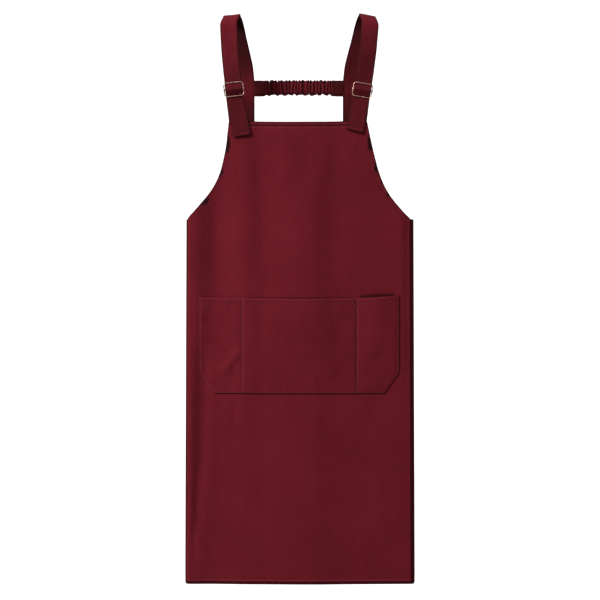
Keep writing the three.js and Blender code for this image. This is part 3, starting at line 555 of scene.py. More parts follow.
# The armhole's two control points: shares of its drop, and of its reach outwards on the left and on the right
armholeCurve = [{"down": 0.6, "left": 0.14, "right": 0.28}, {"down": 0.7, "left": 0.37, "right": 0.28}]

# Where the narrow armhole hem rolls under and its painted shade lies, from and to as drops below the bib's
# top edge
armholeRolls = tableRows("side from to depth", [
    (-1, 22, 60, 1.0),
    (-1, 79, 102, 0.8),
    (-1, 112, 122, 0.6),
    (-1, 131, 153, 1.0),
    (-1, 157, 168, 0.7),
    (1, 24, 55, 1.0),
    (1, 72, 94, 0.9),
    (1, 102, 115, 0.7),
    (1, 124, 138, 0.8),
    (1, 158, 164, 0.4),
])


def frontEdge(sideRow, t):  # the armhole's edge, from the bib's corner, 0, to the side seam, 1
    start = (sideRow["side"] * hang["bibWidth"] / 2, bibTop)
    controls = [(row[sideRow["name"]], row["down"]) for row in armholeCurve]
    return bezier(start, (seamArc(sideRow, sideTop, -1), sideTop), controls, t)


def frontLine(sideRow):  # the whole side edge of the front panel
    down = steps(sideTop, bottom, 4)[1:]
    return np.concatenate([frontEdge(sideRow, np.linspace(0, 1, 90)),
                           np.stack([seamArc(sideRow, down, -1), down], -1)])


frontLines = [frontLine(sideRow) for sideRow in sides]


def bibDrop(arc, z):  # distance below the bib's top edge, which sags in the middle
    share = clamp(np.abs(arc) / (hang["bibWidth"] / 2))
    return bibTop - hang["bibSag"] * (1 - share ** 2) - z


# Where the cloth behind an open pocket mouth lies in shade: from and to across, the mouth's height at
# both, the depth of the shade above it and its tone
mouthShades = tableRows("x toX z toZ above tone", [
    (-102, 100, -513, -514, 2.6, -0.55),
    (106, 172, -511, -507, 5.0, -0.75),
    (-182, -110, -511, -512, 1.4, -0.3),
])


def frontDetail(arc, z):  # height added by hems and seams, and how dark or pale the cloth is there
    arc, z = np.broadcast_arrays(np.asarray(arc, float), np.asarray(z, float))
    top, up = bibDrop(arc, z), z - bottom
    height = -panel["groove"] * ridge(top - panel["hemStitch"], 1.0) * (1 + 0.5 * wobble(arc, 17, 3))
    height += panel["pucker"] * wobble(arc, 19, 4) * ridge(top - panel["hemStitch"], 5)
    # painted highlights along the bib hem's ridges, and painted shade in its stitch groove and along its top
    # edge
    paintedShadeAndWear = 0.25 * ridge(top - 3.2, 1.1) - ridge(top - panel["hemStitch"], 1.6) + 0.35 * ridge(top - 9.2, 1.1)
    paintedShadeAndWear -= 0.9 * ridge(top, 1.3)
    height -= (1.3 * clamp(1 - up / panel["bottomStitch"]) ** 2
               + 0.3 * ridge(up - panel["bottomStitch"] - 0.8, 0.9))
    # painted highlight on the bottom hem's crest, and painted shade on the turned-under part below it
    paintedShadeAndWear += 0.42 * ridge(up - 7.0, 0.9) - 0.8 * ridge(up - 3.2, 1.9)
    for sideRow, line, seed in zip(sides, frontLines, (11, 12)):
        mine = np.sign(arc) == sideRow["side"]
        away, place = nearLine(line, arc, z)
        away = np.where(mine, away, 999)
        hole = ease((z - sideTop + 4) / 8)     # 1 along the armhole, 0 along the side seam
        stitchDip = ridge(away - panel["armholeStitch"], 1.0)
        puff = np.sin(math.pi * clamp(away / panel["armholeStitch"]))
        height += hole * (panel["pucker"] * wobble(place, panel["puckerPeriod"], seed) * puff * 1.4
                          - panel["groove"] * 0.7 * stitchDip)
        roll = np.zeros(arc.shape)
        for row in armholeRolls:
            if row["side"] == sideRow["side"]:
                drop = bibTop - z
                roll += row["depth"] * ease((drop - row["from"]) / 14) * ease((row["to"] - drop) / 5)
        reach = panel["rollWidth"] * (0.25 + 0.75 * roll * (1 + 0.3 * wobble(place, 9, seed + 20)))
        height -= hole * panel["roll"] * (0.25 + roll) * clamp(1 - away / reach) ** 2
        # painted shade where the armhole hem rolls under, with a painted highlight just beside it
        paintedShadeAndWear -= hole * (0.5 + 0.5 * roll) * ease((reach - away) / 2.0)
        paintedShadeAndWear += hole * 0.3 * roll * ridge(away - reach - 1.2, 1.0) - hole * 0.2 * stitchDip
        seam = 1 - hole
        height -= seam * panel["seamTuck"] * clamp(1 - away / 3) ** 2 * 0.4
        # painted shade in the side seam, deeper on the right side, which faces away from the light
        paintedShadeAndWear -= seam * (0.9 if sideRow["side"] > 0 else 0.55) * ridge(away, 2.0)
    return height, paintedShadeAndWear


def mouthShade(arc, z):
    shade = np.zeros(arc.shape)
    for row in mouthShades:
        t = (arc - row["x"]) / (row["toX"] - row["x"])
        over = (z - mix(row["z"], row["toZ"], t)) / row["above"]
        shade += row["tone"] * ease(t * 14) * ease((1 - t) * 14) * ease(1.3 - over) * ease(over / 4 + 3)
    return shade


def onFront(arc, z, distance):
    height, _ = frontDetail(arc, z)
    return offCloth(arc, z, distance + height)


def rowsDown(sizes):  # heights of a panel's rows below the side seams' top, closer in the bottom hem
    hemTop = bottom + sizes["bottomHem"]
    return np.concatenate([steps(sideTop, hemTop, sizes["rowStep"])[1:],
                           steps(hemTop, bottom, sizes["hemStep"])[1:]])


def hemLayer(hems):  # 1 where a hem's second layer lies, from each hem's width and the distances to its edge
    return np.max([ease((width - away) / 1.5) for width, away in hems], axis=0)


def makeFrontPanel():
    # share of the curve that the bib's hem takes
    hemReach = panel["fineTop"] / (3 * armholeCurve[0]["down"] * hang["armhole"])
    t = np.concatenate([np.linspace(0, hemReach, 15), np.linspace(hemReach, 1, 56)[1:]])
    curved = [frontEdge(sideRow, t) for sideRow in sides]
    down = rowsDown(panel)
    rowZ = np.concatenate([curved[0][:, 1], down])
    edges = [np.concatenate([curve[:, 0], seamArc(sideRow, down, -1)])
             for sideRow, curve in zip(sides, curved)]
    sagging = np.concatenate([(1 - t) ** 2, np.zeros(len(down))])
    halfWidth = abs(edges[0][-1])
    near = 1 - np.array(panel["edgeCells"]) / halfWidth
    share = joinSteps(-near * 1000, near * 1000, steps(-near[-1] * 1000, near[-1] * 1000,
                                                     panel["cell"] / halfWidth * 1000)) / 1000
    edge = np.where(share[None, :] < 0, -edges[0][:, None], edges[1][:, None])
    arc = share[None, :] * edge
    z = rowZ[:, None] - hang["bibSag"] * sagging[:, None] * (1 - share[None, :] ** 2)
    height, paintedShadeAndWear = frontDetail(arc, z)
    away = np.minimum(*[np.where(np.sign(arc) == row["side"], nearLine(line, arc, z)[0], 999)
                        for row, line in zip(sides, frontLines)])
    hem = hemLayer([(panel["sideHem"], away), (panel["topHem"], bibDrop(arc, z)),
                    (panel["bottomHem"], z - bottom)])
    outer = offCloth(arc, z, cloth / 2 + height)
    inner = offCloth(arc, z, -cloth / 2 - hang["hemExtra"] * hem + height)
    uv = np.stack([arc, z], -1) / 1000
    piece = wallMesh("front_panel_cloth", outer, inner, uv, paintedShadeAndWear + mouthShade(arc, z), paintedShadeAndWear)
    finishPiece(piece, canvasTwill, "front_panel")
    lines = []
    across = steps(-hang["bibWidth"] / 2 + 3, hang["bibWidth"] / 2 - 3, 1.5)
    hemZ = bibTop - hang["bibSag"] * (1 - (across / (hang["bibWidth"] / 2)) ** 2) - panel["hemStitch"]
    lines.append(frontStitch(across, hemZ))
    wide = steps(seamArc(sides[0], bottom, -1) + 3, seamArc(sides[1], bottom, -1) - 3, 1.5)
    lines.append(frontStitch(wide, np.full(wide.shape, bottom + panel["bottomStitch"] + 0.8)))
    for sideRow in sides:
        line = frontEdge(sideRow, np.linspace(0.03, 0.97, 150))
        heading = unit(np.gradient(line, axis=0))
        inwards = np.stack([heading[:, 1], -heading[:, 0]], -1)
        inwards *= np.sign((inwards[:, 0] * -sideRow["side"]).mean())
        hemLine = line + inwards * panel["armholeStitch"]
        lines.append(frontStitch(hemLine[:, 0], hemLine[:, 1]))
    sewn = sewPiece("front_panel_stitching", lines)


def frontStitch(arc, z):
    return stitchLine(onFront(arc, z, cloth / 2), clothNormal(arc, z))


makeFrontPanel()
print("front panel made")

# Back panels, which reach from the side seams round to the open back

backPanel = {
    "rise": 72,            # side seams' top up to the strap's root
    "edgeFromCentre": 72,  # free edge to the centre line, at the bottom
    "topMargin": 1.5,      # wider than the strap by this much, each side
    "edgeStitch": 7.0, "bottomStitch": 9.0, "groove": 0.4, "pucker": 0.3,
    "topHem": 9, "sideHem": 9.5, "bottomHem": 16,
    "cell": 4.6, "rowStep": 4.4, "hemStep": 1.3, "edgeCells": [0, 0.8, 1.7, 2.8, 4, 5.4, 6.8, 8.2, 10, 13],
}
backEdgeCurve = [(0.1, 0.45), (0.4, 1.0)]
backTop = sideTop + backPanel["rise"]

straps = {
    "width": 30, "bow": 5.6, "crown": 25, "rootOverlap": 26, "twist": 9, "tailLift": 1.2,
    "tabLength": 56,      # bib's top edge to the slider's middle bar
    "tabOverlap": 24, "tabSpacing": 0.5,
    "tailOverlap": 24,    # free end below the bib's top edge
    "edgeStitch": 2.6, "groove": 0.22, "pucker": 0.16, "hemStitch": 7.0, "rootStitch": 5, "boxStitch": 4,
    "outsideTo": 240, "insideFrom": 250,   # along from the free end, on each side of the loop's crest
}
# Each strap's course: places across as shares of its width, lengths as shares of the common ones, tilts
# in degrees, and its painted shade on the way along from the free end, deepest on the loop's inside just
# behind the crest, where the front run shades it
courses = [
    {"slider": 0.21, "crest": 0.35, "back": -0.48, "tail": -0.32, "sliderUp": 1.01, "tailDown": 1.11,
     "tilt": 6.5, "tailTilt": 8.5,
     "tone": {"along": [0, 70, 110, 235, 250, 325, 385, 480],
              "tone": [-0.3, -0.32, -0.28, 0.04, -1, -0.85, -0.2, -0.85]}},
    {"slider": 0.25, "crest": 0.57, "back": -0.37, "tail": -0.19, "sliderUp": 0.985, "tailDown": 0.76,
     "tilt": 10, "tailTilt": 14,
     "tone": {"along": [0, 70, 110, 235, 250, 325, 385, 480],
              "tone": [-0.28, -0.32, -0.34, -0.08, -0.85, -0.5, -0.3, -0.6]}},
]
# Bow of the loop's front, from the crest, 0, down to the slider, 1
frontBow = {"down": [0, 0.16, 0.44, 0.82, 1], "bow": [0, 1, 0.9, 0.35, 0]}
# Where the loop's back runs between the crest's place, 1, and its lower course, 0, on the way down to
# the band, 1
backCourse = {"down": [0, 0.05, 0.14, 0.37, 0.59, 0.81, 1.1], "across": [1, 0.9, 0.78, 0.55, 0.31, 0.1, 0]}

band = {
    "drop": 114, "height": 28.5, "waist": 2.4, "wall": 3.2, "frill": 5.0, "lowFrill": 2.6, "plainEnd": 17,
    "pitch": 6.4,          # real gathers over elastic lie 4 to 7 mm apart
    "depth": 2.4, "frillWave": 2.6, "frillRise": 1.5, "seed": 21,
    "fullness": 1.9,       # length of cloth gathered into each length of band
    "thinnest": 0.35, "cell": 0.55, "rows": 40,
}

slider = {"wire": 2.4, "barPitch": 12.2, "clearance": 1.0, "corner": 6.0, "proud": 0.6,
          "frameWire": 1.9, "nubLength": 3.4, "nubRadius": 1.5, "centreWire": 2.0}
barReach = math.hypot(slider["wire"] / 2, 0.5)   # to the corners of the modelled part's bevelled bars
underBar = barReach + hang["seatGap"] + hang["strapCloth"] / 2
loopRound = barReach + hang["seatGap"] + hang["tabCloth"] / 2
overBar = loopRound + hang["tabCloth"] / 2 + hang["seatGap"] + hang["strapCloth"] / 2
threadAngle = math.asin((underBar + overBar) / slider["barPitch"])
crest = hang["strapCloth"] / 2


def strapPlace(sideRow, course, key):  # distance of a strap's place from the centre line
    tabMiddle = hang["bibWidth"] / 2 - sideRow["side"] * hang["bibLean"] - straps["width"] / 2
    return tabMiddle + (0 if key == "tab" else course[key] * straps["width"])


def strapBackX(sideRow, course, z):
    across = readTable(backCourse, (crest - z) / band["drop"])
    low, high = strapPlace(sideRow, course, "back"), strapPlace(sideRow, course, "crest")
    return sideRow["side"] * mix(low, high, across)


def makeBackPanel(sideRow, course):
    side = sideRow["side"]
    strapOut = strapPlace(sideRow, course, "back")
    topInner = strapOut - straps["width"] / 2 - backPanel["topMargin"]
    topOuter = strapOut + straps["width"] / 2 + backPanel["topMargin"]
    t = np.linspace(0, 1, 44)
    curve = bezier((backArc(topOuter, backTop), backTop), (abs(seamArc(sideRow, sideTop, 1)), sideTop),
                   backEdgeCurve, t)
    down = rowsDown(backPanel)
    rowZ = np.concatenate([curve[:, 1], down])
    outerArc = np.concatenate([curve[:, 0], np.abs(seamArc(sideRow, down, 1))])
    inside = mix(topInner, backPanel["edgeFromCentre"], clamp((backTop - rowZ) / (backTop - bottom)))
    innerArc = backArc(inside, rowZ)
    width = innerArc - outerArc
    whole = width.max()
    near = np.array(backPanel["edgeCells"]) / whole * 1000
    share = joinSteps(near, 1000 - near,
                      steps(near[-1], 1000 - near[-1], backPanel["cell"] / whole * 1000)) / 1000
    arc = outerArc[:, None] + width[:, None] * share[None, :]
    z = np.broadcast_to(rowZ[:, None], arc.shape)
    freeAway = innerArc[:, None] - arc
    seamAway = arc - outerArc[:, None]
    up, top = z - bottom, backTop - z
    hole = ease((z - sideTop + 4) / 8)
    outerAway, _ = nearLine(np.stack([outerArc, rowZ], -1), arc, z)
    height = -backPanel["groove"] * (ridge(freeAway - backPanel["edgeStitch"], 1.1)
                                     + ridge(up - backPanel["bottomStitch"], 1.1)
                                     + hole * ridge(outerAway - 6, 1.1))
    height += backPanel["pucker"] * wobble(z, 15, 31 + side) * np.sin(math.pi * clamp(freeAway / 9))
    height -= 1.0 * clamp(1 - up / 7) ** 2
    # painted shade along the free edge, the bottom hem, the seam, the armhole and the stitch groove, and a
    # painted highlight above the bottom stitches
    paintedShadeAndWear = -0.4 * ridge(freeAway, 1.2) - 0.45 * ridge(up - 2.5, 2) - (1 - hole) * 0.85 * ridge(seamAway, 2.2)
    paintedShadeAndWear -= hole * 0.5 * ridge(outerAway, 1.5) + 0.35 * ridge(freeAway - backPanel["edgeStitch"], 1.2)
    paintedShadeAndWear += 0.25 * ridge(up - backPanel["bottomStitch"] + 1.6, 0.9)
    hem = hemLayer([(backPanel["sideHem"], freeAway), (backPanel["bottomHem"], up),
                    (backPanel["topHem"], outerAway), (backPanel["topHem"], top)])
    outer = offCloth(side * arc, z, cloth / 2 + height)
    inner = offCloth(side * arc, z, -cloth / 2 - hang["hemExtra"] * hem + height)
    uv = np.stack([side * arc, z], -1) / 1000
    name = f"back_panel_{sideRow['name']}"
    piece = wallMesh(f"{name}_cloth", outer, inner, uv, paintedShadeAndWear)
    finishPiece(piece, canvasTwill, name)
    freeZ = steps(backTop - 3, bottom + 3, 2)
    freeInside = mix(topInner, backPanel["edgeFromCentre"], clamp((backTop - freeZ) / (backTop - bottom)))
    hemArc = steps(outerArc[-1] + 3, innerArc[-1] - 3, 2)
    hemZ = np.full(hemArc.shape, bottom + backPanel["bottomStitch"])
    freeArc = side * (backArc(freeInside, freeZ) - backPanel["edgeStitch"])
    depth = cloth / 2 - backPanel["groove"]
    lines = [stitchLine(offCloth(arcs, heights, depth), clothNormal(arcs, heights))
             for arcs, heights in ((freeArc, freeZ), (side * hemArc, hemZ))]
    sewn = sewPiece(f"{name}_stitching", lines)


for sideRow, course in zip(sides, courses):
    makeBackPanel(sideRow, course)
print("back panels made")


# Sliders: a rounded wire frame, a middle bar, and a collar where the bar is wrapped round each side

def sliderFrame(sideRow, course):
    side, tilt = sideRow["side"], math.radians(course["tilt"])
    y = -(hang["loopDepth"] / 2 + backOff) - underBar - slider["proud"]
    centre = np.array([side * strapPlace(sideRow, course, "slider"), y,
                       bibTop + straps["tabLength"] * course["sliderUp"]])
    out = np.array([side * math.cos(tilt), 0, -math.sin(tilt)])
    up = np.array([side * math.sin(tilt), 0, math.cos(tilt)])
    return {"centre": centre, "out": out, "up": up, "tilt": tilt}


def inSlider(frameRow, along, forward):  # places above the slider's middle bar and in front of it
    along, forward = np.asarray(along, float)[..., None], np.asarray(forward, float)[..., None]
    return frameRow["centre"] + frameRow["up"] * along - np.array([0, 1.0, 0]) * forward


def wireTube(path, radius, closed, sidesCount=18):
    # A round wire along a path in the slider's own plane: across, up and forward
    path = np.asarray(path, float)
    radius = np.broadcast_to(radius, len(path))
    ahead = np.roll(path, -1, 0) - np.roll(path, 1, 0) if closed else np.gradient(path, axis=0)
    ahead = unit(ahead)
    forward = np.array([0, 0, 1.0])
    aside = np.cross(ahead, forward)
    angles = np.linspace(0, 2 * math.pi, sidesCount, endpoint=False)
    ring = np.cos(angles)[None, :, None] * aside[:, None] + np.sin(angles)[None, :, None] * forward
    points = (path[:, None] + ring * radius[:, None, None]).reshape(-1, 3)
    number = np.arange(len(points)).reshape(len(path), sidesCount)
    after = np.roll(number, -1, 0) if closed else number[1:]
    before = number if closed else number[:-1]
    quads = np.stack([before, after, np.roll(after, -1, 1), np.roll(before, -1, 1)], -1).reshape(-1, 4)
    faces = outwards(points, quads).tolist()
    if not closed:
        flip = quads.tolist() != faces
        ends = [number[0].tolist(), number[-1, ::-1].tolist()]
        faces += [end[::-1] if flip else end for end in ends]
    return points, faces


def roundedRectangle(halfWidth, halfHeight, corner, step=0.7):
    path = []
    for quarter, (sx, sy) in enumerate([(1, 1), (-1, 1), (-1, -1), (1, -1)]):
        centre = (sx * (halfWidth - corner), sy * (halfHeight - corner))
        for angle in np.linspace(0, math.pi / 2, 10):
            turn = quarter * math.pi / 2 + angle
            path.append((centre[0] + corner * math.cos(turn), centre[1] + corner * math.sin(turn), 0))
    path = np.array(path + path[:1])
    along = np.concatenate([[0], np.cumsum(np.linalg.norm(np.diff(path, axis=0), axis=1))])
    fine = np.arange(0, along[-1] - step / 2, step)
    return np.stack([np.interp(fine, along, path[:, i]) for i in range(3)], -1)


def makeSlider(sideRow, course):
    place = sliderFrame(sideRow, course)
    radius = slider["frameWire"] / 2
    sideX = straps["width"] / 2 + slider["clearance"] + slider["wire"] / 2
    parts = [wireTube(roundedRectangle(sideX, slider["barPitch"], slider["corner"] - radius), radius, True)]
    across = np.linspace(-sideX, sideX, 40)
    parts.append(wireTube(np.stack([across, across * 0, across * 0], -1), slider["centreWire"] / 2, False))
    swellShare = np.linspace(-1, 1, 15)
    collar = radius * 0.8 + (slider["nubRadius"] - radius * 0.8) * (1 - swellShare ** 4) ** 0.5
    for x in (-sideX, sideX):
        spine = np.stack([swellShare * 0 + x, swellShare * slider["nubLength"] / 2, swellShare * 0], -1)
        parts.append(wireTube(spine, collar, False))
    points, faces = [], []
    for partPoints, partFaces in parts:
        base = sum(len(p) for p in points)
        points.append(partPoints)
        faces += [[base + i for i in face] for face in partFaces]
    local = np.concatenate(points)
    world = (place["centre"] + local[:, :1] * place["out"] + local[:, 1:2] * place["up"]
             - local[:, 2:] * np.array([0, 1.0, 0]))
    if sideRow["side"] < 0:    # the left slider's frame is mirrored, so its faces are turned round
        faces = [face[::-1] for face in faces]
    name = f"slider_{sideRow['name']}"
    finishPiece(addMesh(f"{name}_wire", world, faces), platedWire, name)


for sideRow, course in zip(sides, courses):
    makeSlider(sideRow, course)
print("sliders made")


# Straps

stripShares = np.array([-0.5, -0.485, -0.46, -0.435, -0.413, -0.39, -0.36, -0.3, -0.2, -0.1, 0,
                        0.1, 0.2, 0.3, 0.36, 0.39, 0.413, 0.435, 0.46, 0.485, 0.5])


def acrossRows(centres, outs, width):
    return centres[:, None] + outs[:, None] * (stripShares * width)[None, :, None]


def stripUv(along):
    return np.stack(np.broadcast_arrays(stripShares[None, :] * straps["width"], along[:, None]), -1) / 1000


def tiltedOut(side, tilt, twist=0.0):  # the way across a strap, with its outer edge turned back by the twist
    tilt, twist = np.broadcast_arrays(np.asarray(tilt, float), np.asarray(twist, float))
    return np.stack([side * np.cos(tilt) * np.cos(twist), np.sin(twist), -np.sin(tilt) * np.cos(twist)], -1)


def strapGrid(sideRow, course):
    side = sideRow["side"]
    place = sliderFrame(sideRow, course)
    tilt, pitch, width = place["tilt"], slider["barPitch"], straps["width"]
    grids = []
    # The free tail lies on the bib and hangs straight from the slider's lower bar
    tailZ = bibTop - straps["tailOverlap"] * course["tailDown"]
    lower = inSlider(place, -pitch - 2, -underBar)
    share = np.linspace(0, 1, 44)[:-1]
    centres = np.stack([mix(side * strapPlace(sideRow, course, "tail"), lower[0], share), share * 0,
                        mix(tailZ, lower[2], share)], -1)
    tail = acrossRows(centres, tiltedOut(side, mix(math.radians(course["tailTilt"]), tilt, share)), width)
    laidZ = np.minimum(tail[..., 2], bibTop - 1)
    laid = onFront(tail[..., 0] + hang["bibLean"] * liftAt(laidZ), laidZ, backOff + 0.2)
    onBib = clamp((lower[2] - centres[:, 2]) / (lower[2] - bibTop - hang["bibSag"]))[:, None]
    tail[..., 1] = mix(lower[1], laid[..., 1], onBib) - straps["tailLift"] * (1 - share[:, None]) ** 4
    grids.append(tail)
    # Behind the lower bar, over the middle bar, behind the upper bar
    around = np.linspace(0, threadAngle, 9)
    middle = np.linspace(-threadAngle, threadAngle, 19)
    alongs = np.concatenate([[-pitch - 2], -pitch + underBar * np.sin(around), overBar * np.sin(middle[1:-1]),
                             (pitch - underBar * np.sin(around))[::-1]])
    forwards = np.concatenate([[-underBar], -underBar * np.cos(around), overBar * np.cos(middle[1:-1]),
                               (-underBar * np.cos(around))[::-1]])
    threaded = inSlider(place, alongs, forwards)
    grids.append(acrossRows(threaded, np.broadcast_to(place["out"], threaded.shape), width))
    # Up the front, over the crown
    frontY = place["centre"][1] + underBar
    backY = hang["loopDepth"] / 2 + backOff
    top = inSlider(place, pitch, -underBar)

    def frontX(z):
        down = clamp((crest - z) / (crest - top[2]))
        bow = straps["bow"] * readTable(frontBow, down)
        return side * (mix(strapPlace(sideRow, course, "crest"), abs(top[0]), down) + bow)

    crownZ = crest - straps["crown"]
    z = steps(top[2], crownZ, 2.2)[1:-1]
    centres = np.stack([frontX(z), z * 0 + frontY, z], -1)
    turned = math.radians(straps["twist"]) * np.sin(math.pi * (z - top[2]) / (crownZ - top[2])) ** 0.7
    grids.append(acrossRows(centres, tiltedOut(side, z * 0 + tilt, turned), width))
    angle = np.linspace(0, math.pi, 46)
    z = crownZ + straps["crown"] * np.sin(angle)
    x = np.where(angle < math.pi / 2, frontX(z), strapBackX(sideRow, course, z))
    centres = np.stack([x, mix(frontY, backY, (1 - np.cos(angle)) / 2), z], -1)
    grids.append(acrossRows(centres, tiltedOut(side, z * 0 + tilt), width))
    # Down the back to the root, sewn over the top of the back panel
    rootZ = backTop - straps["rootOverlap"]
    z = steps(crownZ, rootZ, 2.6)[1:]
    centres = np.stack([strapBackX(sideRow, course, z), z * 0, z], -1)
    back = acrossRows(centres, tiltedOut(side, tilt * (1 - ease((crest - z) / band["drop"]))), width)
    laid = offCloth(side * backArc(np.abs(back[..., 0]), back[..., 2]), back[..., 2], backOff)
    back[..., 1] = laid[..., 1]
    grids.append(back)
    return np.concatenate(grids)


# Small creases across the straps: the side, the distance along from the free end, the height and the width
strapCreases = tableRows("side at height width", [
    (-1, 158, 0.5, 3.5),
    (-1, 121, -0.35, 4),
    (1, 38, 0.5, 3),
    (1, 128, 0.4, 4),
])


def makeStrap(sideRow, course):
    grid = strapGrid(sideRow, course)
    along = alongRows(grid)
    normals = sheetNormals(grid)
    edge = straps["width"] * (0.5 - np.abs(stripShares))
    away = np.minimum(edge[None, :], 99) + along[:, None] * 0
    fromEnd = along[:, None] + edge[None, :] * 0
    fromRoot = along[-1] - fromEnd
    dip = ridge(away - straps["edgeStitch"], 0.7)
    dip = np.maximum(dip, ridge(fromEnd - straps["hemStitch"], 0.8))
    boxTop = straps["rootOverlap"] - straps["boxStitch"]
    box = ridge(fromRoot - straps["rootStitch"], 0.8) + ridge(fromRoot - boxTop, 0.8)
    dip = np.maximum(dip, box)
    rounded = clamp(1 - away / 1.6) ** 2 * 0.45
    puff = straps["pucker"] * wobble(along[:, None], 11, 41 + sideRow["side"]) * ridge(away - 1.2, 1.6)
    half = hang["strapCloth"] / 2 + 0.2 * ease((straps["hemStitch"] + 1 - fromEnd) / 1.5)
    sway = 0.25 * ripples(stripShares[None, :] * straps["width"] * 1.5, along[:, None], 42,
                          51 + sideRow["side"])
    calm = 1 - ease((150 - fromEnd) / 30) * 0.8
    for row in strapCreases:
        if row["side"] == sideRow["side"]:
            sway = sway + row["height"] * ridge(fromEnd - row["at"] - 4 * stripShares[None, :], row["width"])
    shift = (sway * calm)[..., None] * normals
    outer = grid + shift + normals * (half - straps["groove"] * dip - rounded + puff)[..., None]
    inner = grid + shift - normals * (half - straps["groove"] * dip - rounded)[..., None]
    # painted shade in the stitch grooves, along the edges and at the free end, and painted highlights just
    # inside the end and the edges
    paintedShadeAndWear = -0.5 * dip - 0.3 * ridge(away, 0.7) - 0.55 * ridge(fromEnd, 1.0) + 0.3 * ridge(fromEnd - 4, 1.1)
    paintedShadeAndWear = paintedShadeAndWear + 0.08 * ridge(away - 4.6, 1.2)
    barRow, midColumn = 60, len(stripShares) // 2     # a place over the slider's middle bar
    outerFaces = outer[barRow, midColumn, 1] < inner[barRow, midColumn, 1]   # the outer grid is the outside
    # painted shade from the course's tone: on the outside face, and on the loop's inside past the crest
    outsidePaintedShade = readTable(course["tone"], np.minimum(fromEnd, straps["outsideTo"]))
    insidePaintedShade = readTable(course["tone"], np.maximum(fromEnd, straps["insideFrom"]))
    paintedShadeAndWearSides = [paintedShadeAndWear + outsidePaintedShade, paintedShadeAndWear + np.where(fromEnd < straps["insideFrom"], outsidePaintedShade, insidePaintedShade)]
    uv = stripUv(along)
    name = f"shoulder_strap_{sideRow['name']}"
    piece = wallMesh(f"{name}_webbing", outer, inner, uv, *(paintedShadeAndWearSides if outerFaces else paintedShadeAndWearSides[::-1]))
    finishPiece(piece, strapTwill, name)
    face, facing = (outer, normals) if outerFaces else (inner, -normals)
    sewShare = 0.5 - straps["edgeStitch"] / straps["width"]
    lines = []
    for share in (-sewShare, sewShare):
        column = int(np.argmin(np.abs(stripShares - share)))
        lines.append(stitchLine(face[3:-3, column], facing[3:-3, column]))
    for at in (straps["hemStitch"], along[-1] - straps["rootStitch"], along[-1] - boxTop):
        row = int(np.argmin(np.abs(along - at)))
        lines.append(stitchLine(face[row, 3:-3], facing[row, 3:-3]))
    sewn = sewPiece(f"{name}_stitching", lines)


for sideRow, course in zip(sides, courses):
    makeStrap(sideRow, course)
print("straps made")


# Tabs: each is one strip folded round its slider's middle bar, with both ends sewn inside the bib

def makeTab(sideRow, course):
    side = sideRow["side"]
    place = sliderFrame(sideRow, course)
    wall, pitch = hang["tabCloth"], slider["barPitch"]
    layers = wall + straps["tabSpacing"]
    tabX = side * strapPlace(sideRow, course, "tab")
    frontUnder = underBar + hang["strapCloth"] / 2 + hang["seatGap"] + wall / 2
    inside = -(hemIn + hang["seatGap"] + wall / 2)
    grids = []

    def sewnRows(z, layer):
        x = tabX + side * stripShares[None, :] * straps["width"] + z[:, None] * 0
        zz = z[:, None] + x * 0
        return offFront(x, zz, inside - layer * layers + 0 * x)

    def looseRows(share, layer):
        lower = inSlider(place, -pitch - 1, -frontUnder - layer * layers)
        sewn = offFront(np.array([tabX]), np.array([float(bibTop)]), np.array([inside - layer * layers]))[0]
        centres = mix(sewn[None, :], lower[None, :], share[:, None])
        return acrossRows(centres, tiltedOut(side, place["tilt"] * share), straps["width"])

    end = bibTop - straps["tabOverlap"]
    share = np.linspace(0, 1, 16)
    grids.append(sewnRows(np.linspace(end, bibTop, 12), 0))
    grids.append(looseRows(share[1:], 0))
    around = np.linspace(0, threadAngle, 8)
    alongs = np.concatenate([-pitch + frontUnder * np.sin(around),
                             loopRound * np.sin(np.linspace(-threadAngle, math.pi, 24))])
    forwards = np.concatenate([-frontUnder * np.cos(around),
                               loopRound * np.cos(np.linspace(-threadAngle, math.pi, 24))])
    looped = inSlider(place, alongs, forwards)
    grids.append(acrossRows(looped, np.broadcast_to(place["out"], looped.shape), straps["width"]))
    grids.append(looseRows(share[::-1][:-1], 1))
    grids.append(sewnRows(np.linspace(bibTop, end, 12), 1))
    grid = np.concatenate(grids)
    along = alongRows(grid)
    normals = sheetNormals(grid)
    away = straps["width"] * (0.5 - np.abs(stripShares))[None, :] + along[:, None] * 0
    dip = ridge(away - straps["edgeStitch"], 0.7)
    half = wall / 2 - 0.14 * dip
    uv = stripUv(along)
    name = f"bib_tab_{sideRow['name']}"
    shift = normals * half[..., None]
    # painted shade in the tab's stitch grooves and along its edges
    piece = wallMesh(f"{name}_webbing", grid + shift, grid - shift, uv, -0.4 * dip - 0.3 * ridge(away, 0.7))
    finishPiece(piece, strapTwill, name)


for sideRow, course in zip(sides, courses):
    makeTab(sideRow, course)
print("tabs made")


# Gathered band between the straps at the back

